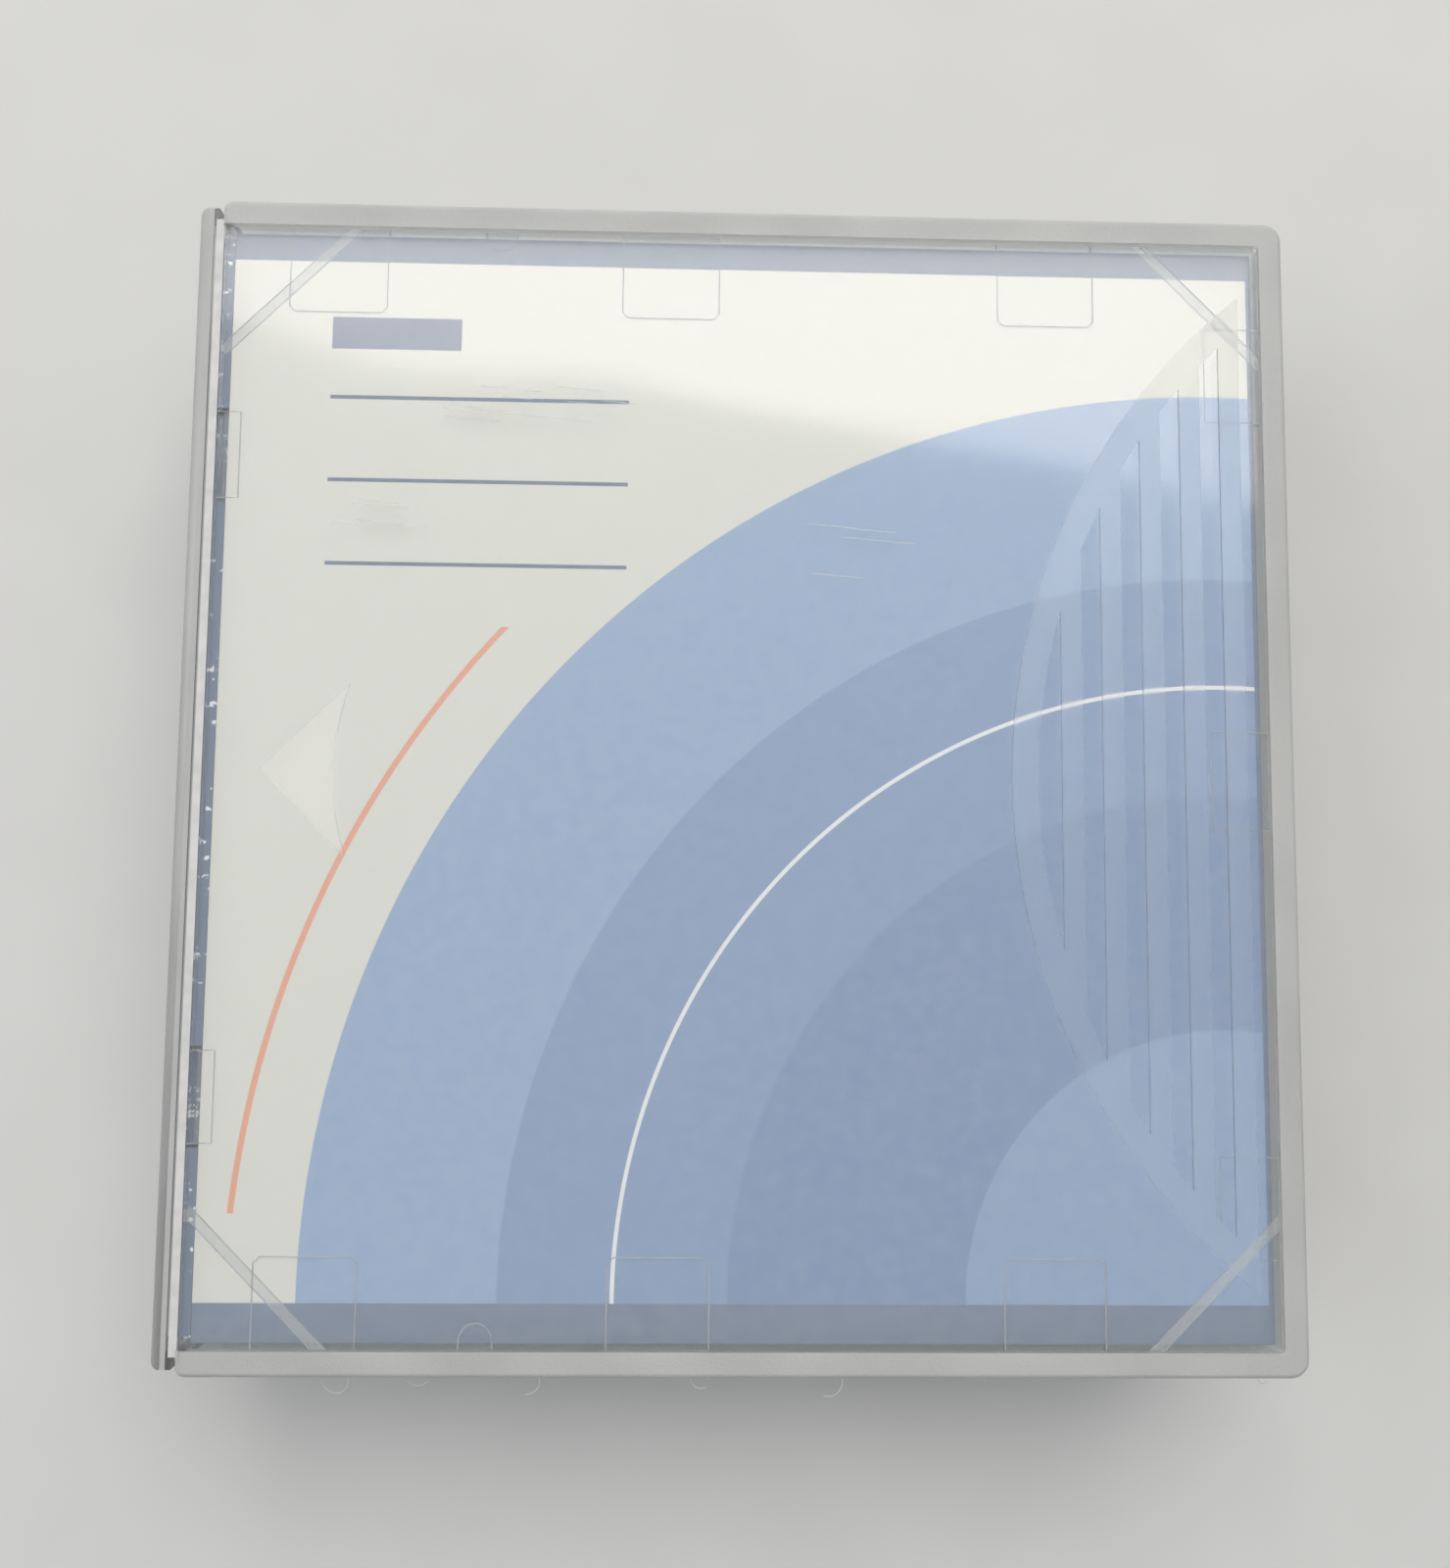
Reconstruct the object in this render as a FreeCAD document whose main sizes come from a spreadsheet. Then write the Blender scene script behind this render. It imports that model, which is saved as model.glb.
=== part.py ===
"""Half-inch data tape cartridge lying in its closed, hinged library case.

X runs from the film hinges (-X) to the opening side (+X), Y along the hinges, Z up out of
the lid.  The origin is the middle of the case's footprint, on the surface it lies on.
Millimetres throughout.
"""
import FreeCAD, Part
import Sketcher
import math
import os
import re

Vector = FreeCAD.Vector
doc = FreeCAD.newDocument("cased_tape_cartridge")

# ---------------------------------------------------------------- driving dimensions
SIZES = {
    "cartridge": {
        "cartridge_depth": 102.0,     # X, the way it goes into a drive
        "cartridge_width": 105.4,
        "cartridge_height": 21.5,
        "shell_wall": 1.8,
        "shell_floor": 2.0,
        "shell_corner": 3.0,
        "shell_edge": 0.8,
        "seam_gap": 0.05,             # between the two shells
    },
    "case": {
        "case_wall": 1.3,
        "panel": 1.2,                 # floor and lid panel
        "rim_stand": 0.8,             # how far the stacking rim stands proud of the panels
        "rim_width": 2.4,
        "case_corner": 1.8,
        "rim_round": 0.5,
        "leaf_round": 0.9,            # rounded ends of the walls beside the hinges
        "cavity_corner": 0.5,
        "spine_depth": 2.4,           # outer face of the spine to the hinge line
        "spine_wall": 1.3,
        "spine_inset": 0.5,           # the spine's ends stand back from the walls
        "spine_round": 1.1,
        "spine_end": 1.5,
        "front_gap": 2.1,             # hinge line to cartridge
        "rear_gap": 2.2,
        "side_gap": 3.25,
        "rib_stand": 0.3,             # support ribs on the floor
        "rib_wide": 1.5,
        "rib_spacing": 13.0,
        "rib_margin": 8.0,
        "lid_gap": 0.3,               # cartridge to card tabs
        "base_tall": 13.5,            # height of the parting plane
        "parting_gap": 0.1,
        "film_half": 0.3,             # half the width of a film hinge
        "film_thick": 0.3,
        "film_tip": 0.06,
    },
    "closure": {
        "tongue_thick": 1.0,
        "tongue_stand": 1.8,
        "tongue_root": 3.0,
        "tongue_side_fit": 0.15,
        "tongue_front_fit": 0.3,
        "bead_proud": 0.15,
        "bead_tall": 1.0,
        "bead_long": 7.0,
        "bead_place": 32.0,
        "catch_deep": 0.4,
        "thumb_wide": 20.0,
        "thumb_tall": 2.6,
        "thumb_cut": 0.6,
        "post_thick": 1.2,
        "post_long": 11.0,
        "post_stand": 10.5,
        "post_fit": 0.3,
    },
    "card": {
        "card_thick": 0.25,
        "card_slot": 0.4,
        "card_fit": 1.4,
        "card_hinge_fit": 0.5,
        "spine_card_thick": 0.2,
        "spine_card_fit": 0.05,
        "tab_thick": 0.5,
        "tab_wide": 9.8,
        "tab_reach": 9.4,
        "tab_place_front": -40.9,
        "tab_place_middle": -7.3,
        "tab_place_rear": 31.0,
        "side_tab_reach": 6.4,
        "side_tab_spacing": 41.7,
        "hook_reach": 2.1,
        "hook_root": 0.4,
        "hook_wide": 8.8,
        "hook_place": 31.6,
        "web_leg": 13.0,
        "lug_place": -24.6,
        "lug_wide": 3.2,
        "lug_straight": 1.6,
        "lug_bow": 1.7,               # radius of a lug's nose
        "mould_step": 0.12,           # shallow step in the panel over each tab
    },
    "lid relief": {
        "relief_stand": 0.2,
        "arrow_place": 5.9,
        "arrow_long": 8.5,
        "arrow_half": 8.5,
        "arrow_bow": 26.5,
        "grip_bow": 64.0,
        "grip_left": 27.0,            # X of the arc's furthest point
        "grip_right": 50.5,
        "grip_band": 2.6,
        "bar_wide": 2.1,
        "bar_pitch": 4.1,
        "grip_sink": 0.4,             # the same grip, sunk into the cartridge's top
    },
    "reel": {
        "reel_radius": 48.4,
        "flange_thick": 1.2,
        "flange_gap": 13.05,          # between the flanges
        "reel_lift": 1.0,             # lower flange above the shell's floor
        "seat_gap": 0.05,             # reel seat above the shell's floor
        "hub_radius": 22.0,
        "hub_wall": 2.0,
        "hub_opening": 18.0,
        "web_thick": 1.6,
        "drive_outer": 17.7,
        "drive_inner": 15.2,
        "drive_stand": 0.5,           # drive teeth above the cartridge's underside
        "drive_tooth": 0.8,
        "drive_teeth": 30,
        "brake_teeth": 24,
        "brake_outer": 11.0,
        "brake_inner": 8.0,
        "tooth_tall": 1.2,
        "tooth_share": 0.40,          # of the pitch, at the tooth's root
        "tooth_tip": 0.15,            # of the pitch, at its tip
        "clutch_bore": 6.0,
        "clutch_radius": 12.0,
        "clutch_thick": 0.8,
        "clutch_fit": 0.05,
        "tape_radius": 46.0,
        "tape_width": 12.65,
    },
    "brake": {
        "button_radius": 16.5,
        "button_thick": 1.5,
        "mesh_gap": 0.4,              # tooth tip to root, brake home
        "boss_radius": 7.0,
        "boss_tall": 8.5,
        "key_wide": 8.0,
        "key_fit": 0.15,
        "key_room": 2.2,
        "pad_inner": 12.0,
        "pad_outer": 16.0,
        "pad_thick": 1.1,
        "pad_gap": 0.1,
        "foot_inner": 12.6,
        "foot_outer": 14.6,
        "foot_raise": 0.2,
        "foot_angle": 22.0,
        "window_angle": 30.0,
        "spring_wire": 0.9,
        "spring_radius": 8.2,
        "spring_turns": 4,
    },
    "leader": {
        "pin_radius": 1.5,
        "pin_head_radius": 2.6,
        "pin_head_thick": 1.0,
        "pin_place_x": 17.0,          # from the cartridge's front
        "pin_place_y": 6.6,           # from its door side
        "clip_thick": 0.3,
        "clip_wide": 1.9,
        "clip_fit": 0.05,
        "clip_raise": 1.2,
        "clip_tail": 5.0,
        "clip_post_half": 1.0,
        "leader_thick": 0.12,
        "leader_gap": 0.3,
        "tape_clip_radius": 2.1,
        "tape_clip_tall": 11.0,
    },
    "door": {
        "door_thick": 1.0,
        "door_long": 25.0,
        "door_place": 9.0,            # from the cartridge's front
        "door_fit": 0.15,
        "door_travel": 19.0,
        "hook_long": 2.0,
        "hook_tall": 8.0,
        "hook_stand": 1.2,
        "window_margin": 1.5,
        "window_rim": 2.8,
        "rail_stand": 0.7,
        "rail_thick": 0.6,
        "door_spring_radius": 0.75,
        "door_spring_wire": 0.25,
        "door_spring_long": 36.0,
        "door_spring_turns": 8,
        "door_spring_drop": 1.2,
    },
    "small pieces": {
        "boss_outer": 2.8,
        "boss_place": 4.9,            # screw axis from the shell's sides
        "screw_bore": 1.2,
        "screw_shank": 1.05,
        "screw_head": 2.1,
        "screw_head_tall": 1.3,
        "screw_sink": 0.3,
        "screw_long": 14.0,
        "screw_spare": 1.3,           # bore beyond the screw's end
        "slider_place": 28.0,
        "slider_raise": 2.0,
        "slider_wide": 6.5,
        "slider_tall": 4.4,
        "slider_travel": 4.0,
        "slider_fit": 0.15,
        "slider_back": 1.2,
        "slider_lap": 1.2,            # plate beyond its slot, inside the shell
        "chip_long": 12.0,
        "chip_tall": 8.0,
        "chip_thick": 2.0,
        "chip_place": 9.6,
        "notch_place": 12.0,
        "notch_long": 6.0,
        "notch_tall": 9.0,
        "notch_deep": 1.0,
        "label_sink": 0.3,
        "label_left": -44.0,
        "label_right": 20.0,
        "label_tall": 15.5,
    },
}

NAMES = {name for group in SIZES.values() for name in group}
sizes = doc.addObject("Spreadsheet::Sheet", "sizes")
row = 0
for group, members in SIZES.items():
    row += 1
    sizes.set(f"A{row}", group)
    for name, number in members.items():
        row += 1
        sizes.set(f"A{row}", name)
        sizes.set(f"B{row}", str(number))
        sizes.setAlias(f"B{row}", name)
doc.recompute()


def cell(text):
    """The same sum with each named size looked up in the sheet."""
    return re.sub(r"[a-z][a-z_]*", lambda m: "sizes." + m[0] if m[0] in NAMES else m[0], text)


def value(text):
    """What a sum of named sizes comes to."""
    return float(sizes.evalExpression(cell(str(text))))


# ---------------------------------------------------------------- places that pieces share
CASE_LONG = "(spine_depth + front_gap + cartridge_depth + rear_gap + case_wall)"
RIGHT = f"({CASE_LONG} / 2)"
LEFT = f"(-{CASE_LONG} / 2)"
HINGE = f"({LEFT} + spine_depth)"
LEAF = f"({HINGE} + film_half)"
SPINE_EDGE = f"({HINGE} - film_half)"
SIDE = "(cartridge_width / 2 + side_gap + case_wall)"
INNER_SIDE = f"({SIDE} - case_wall)"
INNER_RIGHT = f"({RIGHT} - case_wall)"

FLOOR = "(rim_stand + panel)"
BED = f"({FLOOR} + rib_stand)"
CARTRIDGE_TOP = f"({BED} + cartridge_height)"
TABS = f"({CARTRIDGE_TOP} + lid_gap)"
TABS_TOP = f"({TABS} + tab_thick)"
CEILING = f"({TABS_TOP} + card_slot)"
LID_TOP = f"({CEILING} + panel)"
CASE_TOP = f"({LID_TOP} + rim_stand)"
LID_EDGE = "(base_tall + parting_gap)"
LOWER_PIVOT = "(rim_stand + film_thick / 2)"
UPPER_PIVOT = f"({LID_TOP} - film_thick / 2)"
TONGUE_SIDE = f"({INNER_SIDE} - tongue_side_fit)"
TONGUE_RIGHT = f"({INNER_RIGHT} - tongue_front_fit)"
TONGUE_TOP = "(base_tall + tongue_stand)"

FRONT = f"({HINGE} + front_gap)"
REAR = f"({FRONT} + cartridge_depth)"
FLANK = "(cartridge_width / 2)"
SEAM = f"({BED} + cartridge_height / 2)"
SHELL_FLOOR = f"({BED} + shell_floor)"
SHELL_CEILING = f"({CARTRIDGE_TOP} - shell_floor)"
REEL_X = f"({FRONT} + cartridge_depth / 2)"
INNER_FLANK = f"({FLANK} - shell_wall)"

LOWER_FLANGE = f"({SHELL_FLOOR} + reel_lift)"
PACK_FLOOR = f"({LOWER_FLANGE} + flange_thick)"
UPPER_FLANGE = f"({PACK_FLOOR} + flange_gap)"
WEB_TOP = f"({LOWER_FLANGE} + web_thick)"
BRAKE_ROOT = f"({WEB_TOP} + tooth_tall + mesh_gap)"
BUTTON_TOP = f"({BRAKE_ROOT} + button_thick)"

PIN_X = f"({FRONT} + pin_place_x)"
PIN_Y = f"(pin_place_y - {FLANK})"
DOOR_OUT = f"({FLANK} - shell_wall - door_fit)"
DOOR_IN = f"({DOOR_OUT} - door_thick)"
DOOR_START = f"({FRONT} + door_place)"
DOOR_END = f"({DOOR_START} + door_long)"


# ---------------------------------------------------------------- how the pieces are drawn
def new_body(name):
    body = doc.addObject("PartDesign::Body", name)
    body.Label = name
    return body


def origin_part(body, role):
    return next(part for part in body.Origin.OriginFeatures if part.Role == role)


def new_sketch(body, plane, level):
    """A sketch on one of the body's own planes, moved along the plane's normal."""
    sketch = body.newObject("Sketcher::SketchObject", "outline")
    sketch.AttachmentSupport = [(origin_part(body, plane), "")]
    sketch.MapMode = "FlatFace"
    sketch.setExpression("AttachmentOffset.Base.z", cell(level))
    return sketch


def hold(sketch, kind, *places, size):
    """Add one constraint whose number is bound to the sheet."""
    index = sketch.addConstraint(Sketcher.Constraint(kind, *places, value(size)))
    name = f"size_{index}"
    sketch.renameConstraint(index, name)
    sketch.setExpression("Constraints." + name, cell(size))


def arc_between(start, end, radius):
    """Counter-clockwise arc; a negative radius means that the outline runs it backwards."""
    first, last = (start, end) if radius > 0 else (end, start)
    chord = last - first
    away = Vector(-chord.y, chord.x, 0).normalize()
    rise = math.sqrt(max(radius ** 2 - (chord.Length / 2) ** 2, 0))
    middle = (first + last) / 2 + away * rise
    angles = [math.atan2(p.y - middle.y, p.x - middle.x) for p in (first, last)]
    circle = Part.Circle(middle, Vector(0, 0, 1), abs(radius))
    return Part.ArcOfCircle(circle, *angles)


def draw(sketch, outline):
    """Closed counter-clockwise outline of corners (x, y) or (x, y, radius to the next)."""
    places = [Vector(value(corner[0]), value(corner[1]), 0) for corner in outline]
    ends = []
    for index, corner in enumerate(outline):
        start, end = places[index], places[(index + 1) % len(places)]
        radius = value(corner[2]) if len(corner) > 2 else 0
        edge = arc_between(start, end, radius) if radius else Part.LineSegment(start, end)
        number = sketch.addGeometry(edge)
        ends.append((number, 1, 2) if radius >= 0 else (number, 2, 1))
        if radius:
            hold(sketch, "Radius", number, size=f"abs({corner[2]})")
    for index, corner in enumerate(outline):
        number, start, end = ends[index]
        after = ends[(index + 1) % len(ends)]
        sketch.addConstraint(Sketcher.Constraint("Coincident", number, end, after[0], after[1]))
        hold(sketch, "DistanceX", -1, 1, number, start, size=corner[0])
        hold(sketch, "DistanceY", -1, 1, number, start, size=corner[1])


def draw_circle(sketch, x, y, radius):
    place = Vector(value(x), value(y), 0)
    number = sketch.addGeometry(Part.Circle(place, Vector(0, 0, 1), value(radius)))
    hold(sketch, "DistanceX", -1, 1, number, 3, size=x)
    hold(sketch, "DistanceY", -1, 1, number, 3, size=y)
    hold(sketch, "Radius", number, size=radius)


def box(left, low, right, high):
    return [(left, low), (right, low), (right, high), (left, high)]


def rounded(left, low, right, high, radius, left_radius=None):
    """Rectangle with round corners; the two on the left may have a radius of their own."""
    near = left_radius or radius
    return [
        (f"{left} + {near}", low),
        (f"{right} - {radius}", low, radius),
        (right, f"{low} + {radius}"),
        (right, f"{high} - {radius}", radius),
        (f"{right} - {radius}", high),
        (f"{left} + {near}", high, near),
        (left, f"{high} - {near}"),
        (left, f"{low} + {near}", near),
    ]


def circle(x, y, radius):
    return ("circle", x, y, radius)


def extrude(body, outlines, low, high, plane="XY_Plane", cut=False):
    """Add or remove the prism over the outlines, between two levels of the plane's normal."""
    sketch = new_sketch(body, plane, low)
    for outline in outlines:
        if outline[0] == "circle":
            draw_circle(sketch, *outline[1:])
        else:
            draw(sketch, outline)
    doc.recompute()
    kind = "PartDesign::Pocket" if cut else "PartDesign::Pad"
    feature = body.newObject(kind, "cut" if cut else "rise")
    feature.Profile = sketch
    feature.setExpression("Length", cell(f"({high}) - ({low})"))
    feature.Reversed = cut
    doc.recompute()
    return feature


def revolve(body, outline):
    """Turn an outline of (radius, height) corners round the body's own Z axis."""
    sketch = new_sketch(body, "XZ_Plane", "0")
    draw(sketch, outline)
    doc.recompute()
    feature = body.newObject("PartDesign::Revolution", "turned")
    feature.Profile = sketch
    feature.ReferenceAxis = (sketch, ["V_Axis"])
    feature.Angle = 360
    doc.recompute()
    return feature


def mirror(body, features, plane="XZ_Plane"):
    copy = body.newObject("PartDesign::Mirrored", "mirrored")
    copy.Originals = features
    copy.MirrorPlane = (origin_part(body, plane), [""])
    body.Tip = copy
    doc.recompute()
    return copy


def round_edges(body, radius, test):
    """Fillet those edges of the body that pass the test."""
    base = body.Tip
    edges = [f"Edge{n + 1}" for n, edge in enumerate(base.Shape.Edges) if test(edge)]
    feature = body.newObject("PartDesign::Fillet", "softened")
    feature.Base = (base, edges)
    feature.setExpression("Radius", cell(radius))
    doc.recompute()
    return feature


def level_edge(height):
    """Test for edges that lie at one height."""
    z = value(height)

    def test(edge):
        room = edge.BoundBox
        return math.isclose(room.ZMin, z, abs_tol=1e-4) and math.isclose(
            room.ZMax, z, abs_tol=1e-4)
    return test


# ---------------------------------------------------------------- the case
def leaf_outline():
    """Outside of base and lid: moulded corners, and rounder wall ends beside the hinge."""
    return rounded(LEAF, f"-{SIDE}", RIGHT, SIDE, "case_corner", "leaf_round")


def leaf_cavity(wall):
    """Inside of three walls; it runs out past the hinge side, which stays open."""
    side, right = f"({SIDE} - {wall})", f"({RIGHT} - {wall})"
    return [
        (LEFT, f"-{side}"),
        (f"{right} - cavity_corner", f"-{side}", "cavity_corner"),
        (right, f"-{side} + cavity_corner"),
        (right, f"{side} - cavity_corner", "cavity_corner"),
        (f"{right} - cavity_corner", side),
        (LEFT, side),
    ]


def three_walls(side, right, thick):
    """Plan of a wall that follows the three closed sides, its outer faces at side and right."""
    return [
        (LEAF, f"-{side}"), (right, f"-{side}"), (right, side), (LEAF, side),
        (LEAF, f"{side} - {thick}"), (f"{right} - {thick}", f"{side} - {thick}"),
        (f"{right} - {thick}", f"-({side} - {thick})"), (LEAF, f"-({side} - {thick})"),
    ]


def add_film(body, pivot, way):
    """Half of a film hinge, thinning out towards the hinge line; way is +1 or -1 along X."""
    edge = f"{HINGE} + {way} * film_half"
    tip = f"{HINGE} + {way} * film_tip / 2"
    half_edge, half_tip = "film_thick / 2", "film_tip / 2"
    web = [(edge, f"{pivot} - {half_edge}"), (tip, f"{pivot} - {half_tip}"),
           (tip, f"{pivot} + {half_tip}"), (edge, f"{pivot} + {half_edge}")]
    extrude(body, [web], f"-{INNER_SIDE}", INNER_SIDE, plane="XZ_Plane")


def corner_post(x_way, y_way):
    """L-shaped rib that stands outside one corner of the cartridge."""
    x = f"{FRONT} - post_fit" if x_way < 0 else f"{REAR} + post_fit"
    y = f"{y_way} * ({FLANK} + post_fit)"
    out_x, out_y = f"{x} + {x_way} * post_thick", f"{y} + {y_way} * post_thick"
    in_x, in_y = f"{x} - {x_way} * post_long", f"{y} - {y_way} * post_long"
    return [(out_x, out_y), (in_x, out_y), (in_x, y), (x, y), (x, in_y), (out_x, in_y)]


def catch_span(place, x_low, x_high):
    return box(x_low, f"{place} - bead_long / 2", x_high, f"{place} + bead_long / 2")


def case_base():
    body = new_body("case_base")
    extrude(body, [leaf_outline()], "0", "base_tall")
    round_edges(body, "rim_round", level_edge("0"))
    extrude(body, [leaf_cavity("rim_width")], "0", "rim_stand", cut=True)
    extrude(body, [leaf_cavity("case_wall")], FLOOR, "base_tall", cut=True)

    root = three_walls(f"({INNER_SIDE} + tongue_side_fit)", f"({INNER_RIGHT} + tongue_side_fit)",
                       "(tongue_thick + tongue_front_fit)")
    extrude(body, [root], "base_tall - tongue_root", "base_tall")
    extrude(body, [three_walls(TONGUE_SIDE, TONGUE_RIGHT, "tongue_thick")],
            "base_tall - tongue_root", TONGUE_TOP)
    posts = [corner_post(x_way, y_way) for x_way in (-1, 1) for y_way in (-1, 1)]
    extrude(body, posts, FLOOR, f"{FLOOR} + post_stand")

    ribs = [box(f"{FRONT} + rib_margin", f"{n} * rib_spacing - rib_wide / 2",
                f"{REAR} - rib_margin", f"{n} * rib_spacing + rib_wide / 2")
            for n in (-3, -2, 2, 3)]
    extrude(body, ribs, FLOOR, BED)

    half, deep = "(thumb_wide / 2)", "thumb_tall"
    bow = f"(({half} ^ 2 + {deep} ^ 2) / (2 * {deep}))"
    scoop = [(f"-{half}", "base_tall", bow), (half, "base_tall")]
    extrude(body, [scoop], f"{RIGHT} - thumb_cut", RIGHT, plane="YZ_Plane", cut=True)

    bead_bow = "(((bead_tall / 2) ^ 2 + bead_proud ^ 2) / (2 * bead_proud))"
    middle = f"({TONGUE_TOP} - bead_tall)"
    bead = [(f"{TONGUE_RIGHT} - bead_proud", f"{middle} - bead_tall / 2"),
            (TONGUE_RIGHT, f"{middle} - bead_tall / 2", bead_bow),
            (TONGUE_RIGHT, f"{middle} + bead_tall / 2"),
            (f"{TONGUE_RIGHT} - bead_proud", f"{middle} + bead_tall / 2")]
    feature = extrude(body, [bead], "bead_place - bead_long / 2", "bead_place + bead_long / 2",
                      plane="XZ_Plane")
    mirror(body, [feature])
    add_film(body, LOWER_PIVOT, 1)
    return body


def arc_rise(x, radius):
    """Half height of a grip arc at one X; both arcs share a centre right of the field."""
    return f"sqrt({radius} ^ 2 - (grip_left + grip_bow - ({x})) ^ 2)"


def grip_gap(number):
    """Gap left of one bar, counted from the right, its ends on the arc's inner edge."""
    left = f"(grip_right - {number + 1} * bar_pitch)"
    right = f"(grip_right - {number} * bar_pitch - bar_wide)"
    low, high = (arc_rise(x, "(grip_bow - grip_band)") for x in (left, right))
    return [(left, f"-{low}"), (right, f"-{high}"), (right, high), (left, low)]


def grip_field(right, radius):
    """Bowed on the left and straight on the right."""
    rise = arc_rise(right, radius)
    return [(right, f"-{rise}"), (right, rise, radius)]


def arrow_outline():
    """Arrow that points at the hinges, with a hollow back."""
    tip = f"({HINGE} + arrow_place)"
    back = f"({tip} + arrow_long)"
    return [(tip, "0"), (back, "-arrow_half", "-arrow_bow"), (back, "arrow_half")]


def card_tabs(root):
    """Ledges on the three walls that carry the card; root is how far they go into the wall."""
    wall, inner = f"({INNER_SIDE} + {root})", f"({INNER_SIDE} - tab_reach)"
    tabs = []
    for place in ("tab_place_front", "tab_place_middle", "tab_place_rear"):
        left, right = f"{place} - tab_wide / 2", f"{place} + tab_wide / 2"
        tabs.append(box(left, inner, right, wall))
        tabs.append(box(left, f"-{wall}", right, f"-{inner}"))
    for n in (-1, 0, 1):
        place = f"{n} * side_tab_spacing"
        tabs.append(box(f"{INNER_RIGHT} - side_tab_reach", f"{place} - tab_wide / 2",
                        f"{INNER_RIGHT} + {root}", f"{place} + tab_wide / 2"))
    return tabs


def corner_webs(root):
    """Triangular ledges across the four corners."""
    webs = []
    for x, inward in ((LEAF, 1), (INNER_RIGHT, -1)):
        for way in (-1, 1):
            y, edge = f"{way} * {INNER_SIDE}", f"{way} * ({INNER_SIDE} + {root})"
            end = f"{x} + {inward} * web_leg"
            webs.append([(x, edge), (x, f"{y} - {way} * web_leg"), (end, y), (end, edge)])
    return webs if value(root) else [web[:3] for web in webs]


def stop_lugs(root):
    """Small round-ended lugs that the card's long edges are notched for."""
    lugs = []
    for way in (-1, 1):
        left, right = "lug_place - lug_wide / 2", "lug_place + lug_wide / 2"
        wall = f"{way} * ({INNER_SIDE} + {root})"
        nose = f"{way} * ({INNER_SIDE} - lug_straight)"
        lugs.append([(left, nose, "lug_bow"), (right, nose), (right, wall), (left, wall)]
                    if way > 0 else
                    [(left, wall), (right, wall), (right, nose, "lug_bow"), (left, nose)])
    return lugs


def case_lid():
    body = new_body("case_lid")
    extrude(body, [leaf_outline()], LID_EDGE, CASE_TOP)
    round_edges(body, "rim_round", level_edge(CASE_TOP))
    extrude(body, [leaf_cavity("rim_width")], LID_TOP, CASE_TOP, cut=True)
    extrude(body, [leaf_cavity("case_wall")], LID_EDGE, CEILING, cut=True)

    root = "case_wall / 2"
    for ledges in (card_tabs, corner_webs, stop_lugs):
        extrude(body, ledges(root), TABS, TABS_TOP)
        extrude(body, ledges("0"), CEILING, f"{CEILING} + mould_step", cut=True)

    for way in (-1, 1):
        low, high = f"{way} * hook_place - hook_wide / 2", f"{way} * hook_place + hook_wide / 2"
        extrude(body, [box(LEAF, low, f"{LEAF} + hook_root", high)], TABS, f"{CEILING}")
        extrude(body, [box(LEAF, low, f"{LEAF} + hook_reach", high)], TABS, TABS_TOP)

    catch = catch_span("bead_place", f"{INNER_RIGHT} - case_wall / 4",
                       f"{INNER_RIGHT} + catch_deep")
    feature = extrude(body, [catch], LID_EDGE, f"{TONGUE_TOP} + parting_gap", cut=True)
    mirror(body, [feature])

    extrude(body, [arrow_outline()], LID_TOP, f"{LID_TOP} + relief_stand")
    extrude(body, [grip_field("grip_right", "grip_bow")], LID_TOP, f"{LID_TOP} + relief_stand")
    gaps = [grip_gap(number) for number in range(4)]
    gaps.append(grip_field("(grip_right - 4 * bar_pitch - bar_wide)", "(grip_bow - grip_band)"))
    extrude(body, gaps, LID_TOP, f"{LID_TOP} + relief_stand", cut=True)
    add_film(body, UPPER_PIVOT, 1)
    return body


def case_spine():
    body = new_body("case_spine")
    end = f"({SIDE} - spine_inset)"
    extrude(body, [box(LEFT, f"-{end}", SPINE_EDGE, end)], "rim_stand", LID_TOP)
    outer = value(LEFT)
    round_edges(body, "spine_round",
                lambda edge: math.isclose(edge.BoundBox.XMax, outer, abs_tol=1e-4))
    room = f"({end} - spine_end)"
    extrude(body, [box(f"-{room}", "rim_stand + panel", room, f"{LID_TOP} - panel")],
            f"{LEFT} + spine_wall", SPINE_EDGE, plane="YZ_Plane", cut=True)
    add_film(body, LOWER_PIVOT, -1)
    add_film(body, UPPER_PIVOT, -1)
    return body


# ---------------------------------------------------------------- the cartridge's shells
def shell_outline(inset="0", corner="shell_corner"):
    return rounded(f"({FRONT} + {inset})", f"-({FLANK} - {inset})",
                   f"({REAR} - {inset})", f"({FLANK} - {inset})", corner)


def screw_places():
    return [(x, f"({way} * ({FLANK} - boss_place))")
            for x in (f"({FRONT} + boss_place)", f"({REAR} - boss_place)") for way in (-1, 1)]


def hollow_shell(name, low, high, outside, floor, ceiling):
    """Half of the cartridge's housing: softened outside edge, one open side, four bosses."""
    body = new_body(name)
    extrude(body, [shell_outline()], low, high)
    round_edges(body, "shell_edge", level_edge(outside))
    extrude(body, [shell_outline("shell_wall", "(shell_corner - shell_wall)")],
            floor, ceiling, cut=True)
    extrude(body, [circle(x, y, "boss_outer") for x, y in screw_places()], floor, ceiling)
    return body


def cut_door_window(body, low, high):
    window = box(f"{DOOR_START} + window_margin", low, f"{DOOR_END} - window_margin", high)
    extrude(body, [window], f"{FLANK} - shell_wall", FLANK, plane="XZ_Plane", cut=True)


def add_rail(body, low, high):
    """Guide rib that keeps the door against the wall over its whole travel."""
    outer = f"-({DOOR_IN} - door_fit)"
    rail = box(DOOR_START, outer, f"{DOOR_END} + door_travel", f"{outer} + rail_thick")
    extrude(body, [rail], low, high)


def clip_end():
    return f"({PIN_X} - pin_radius - clip_fit - clip_thick - clip_tail)"


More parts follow.
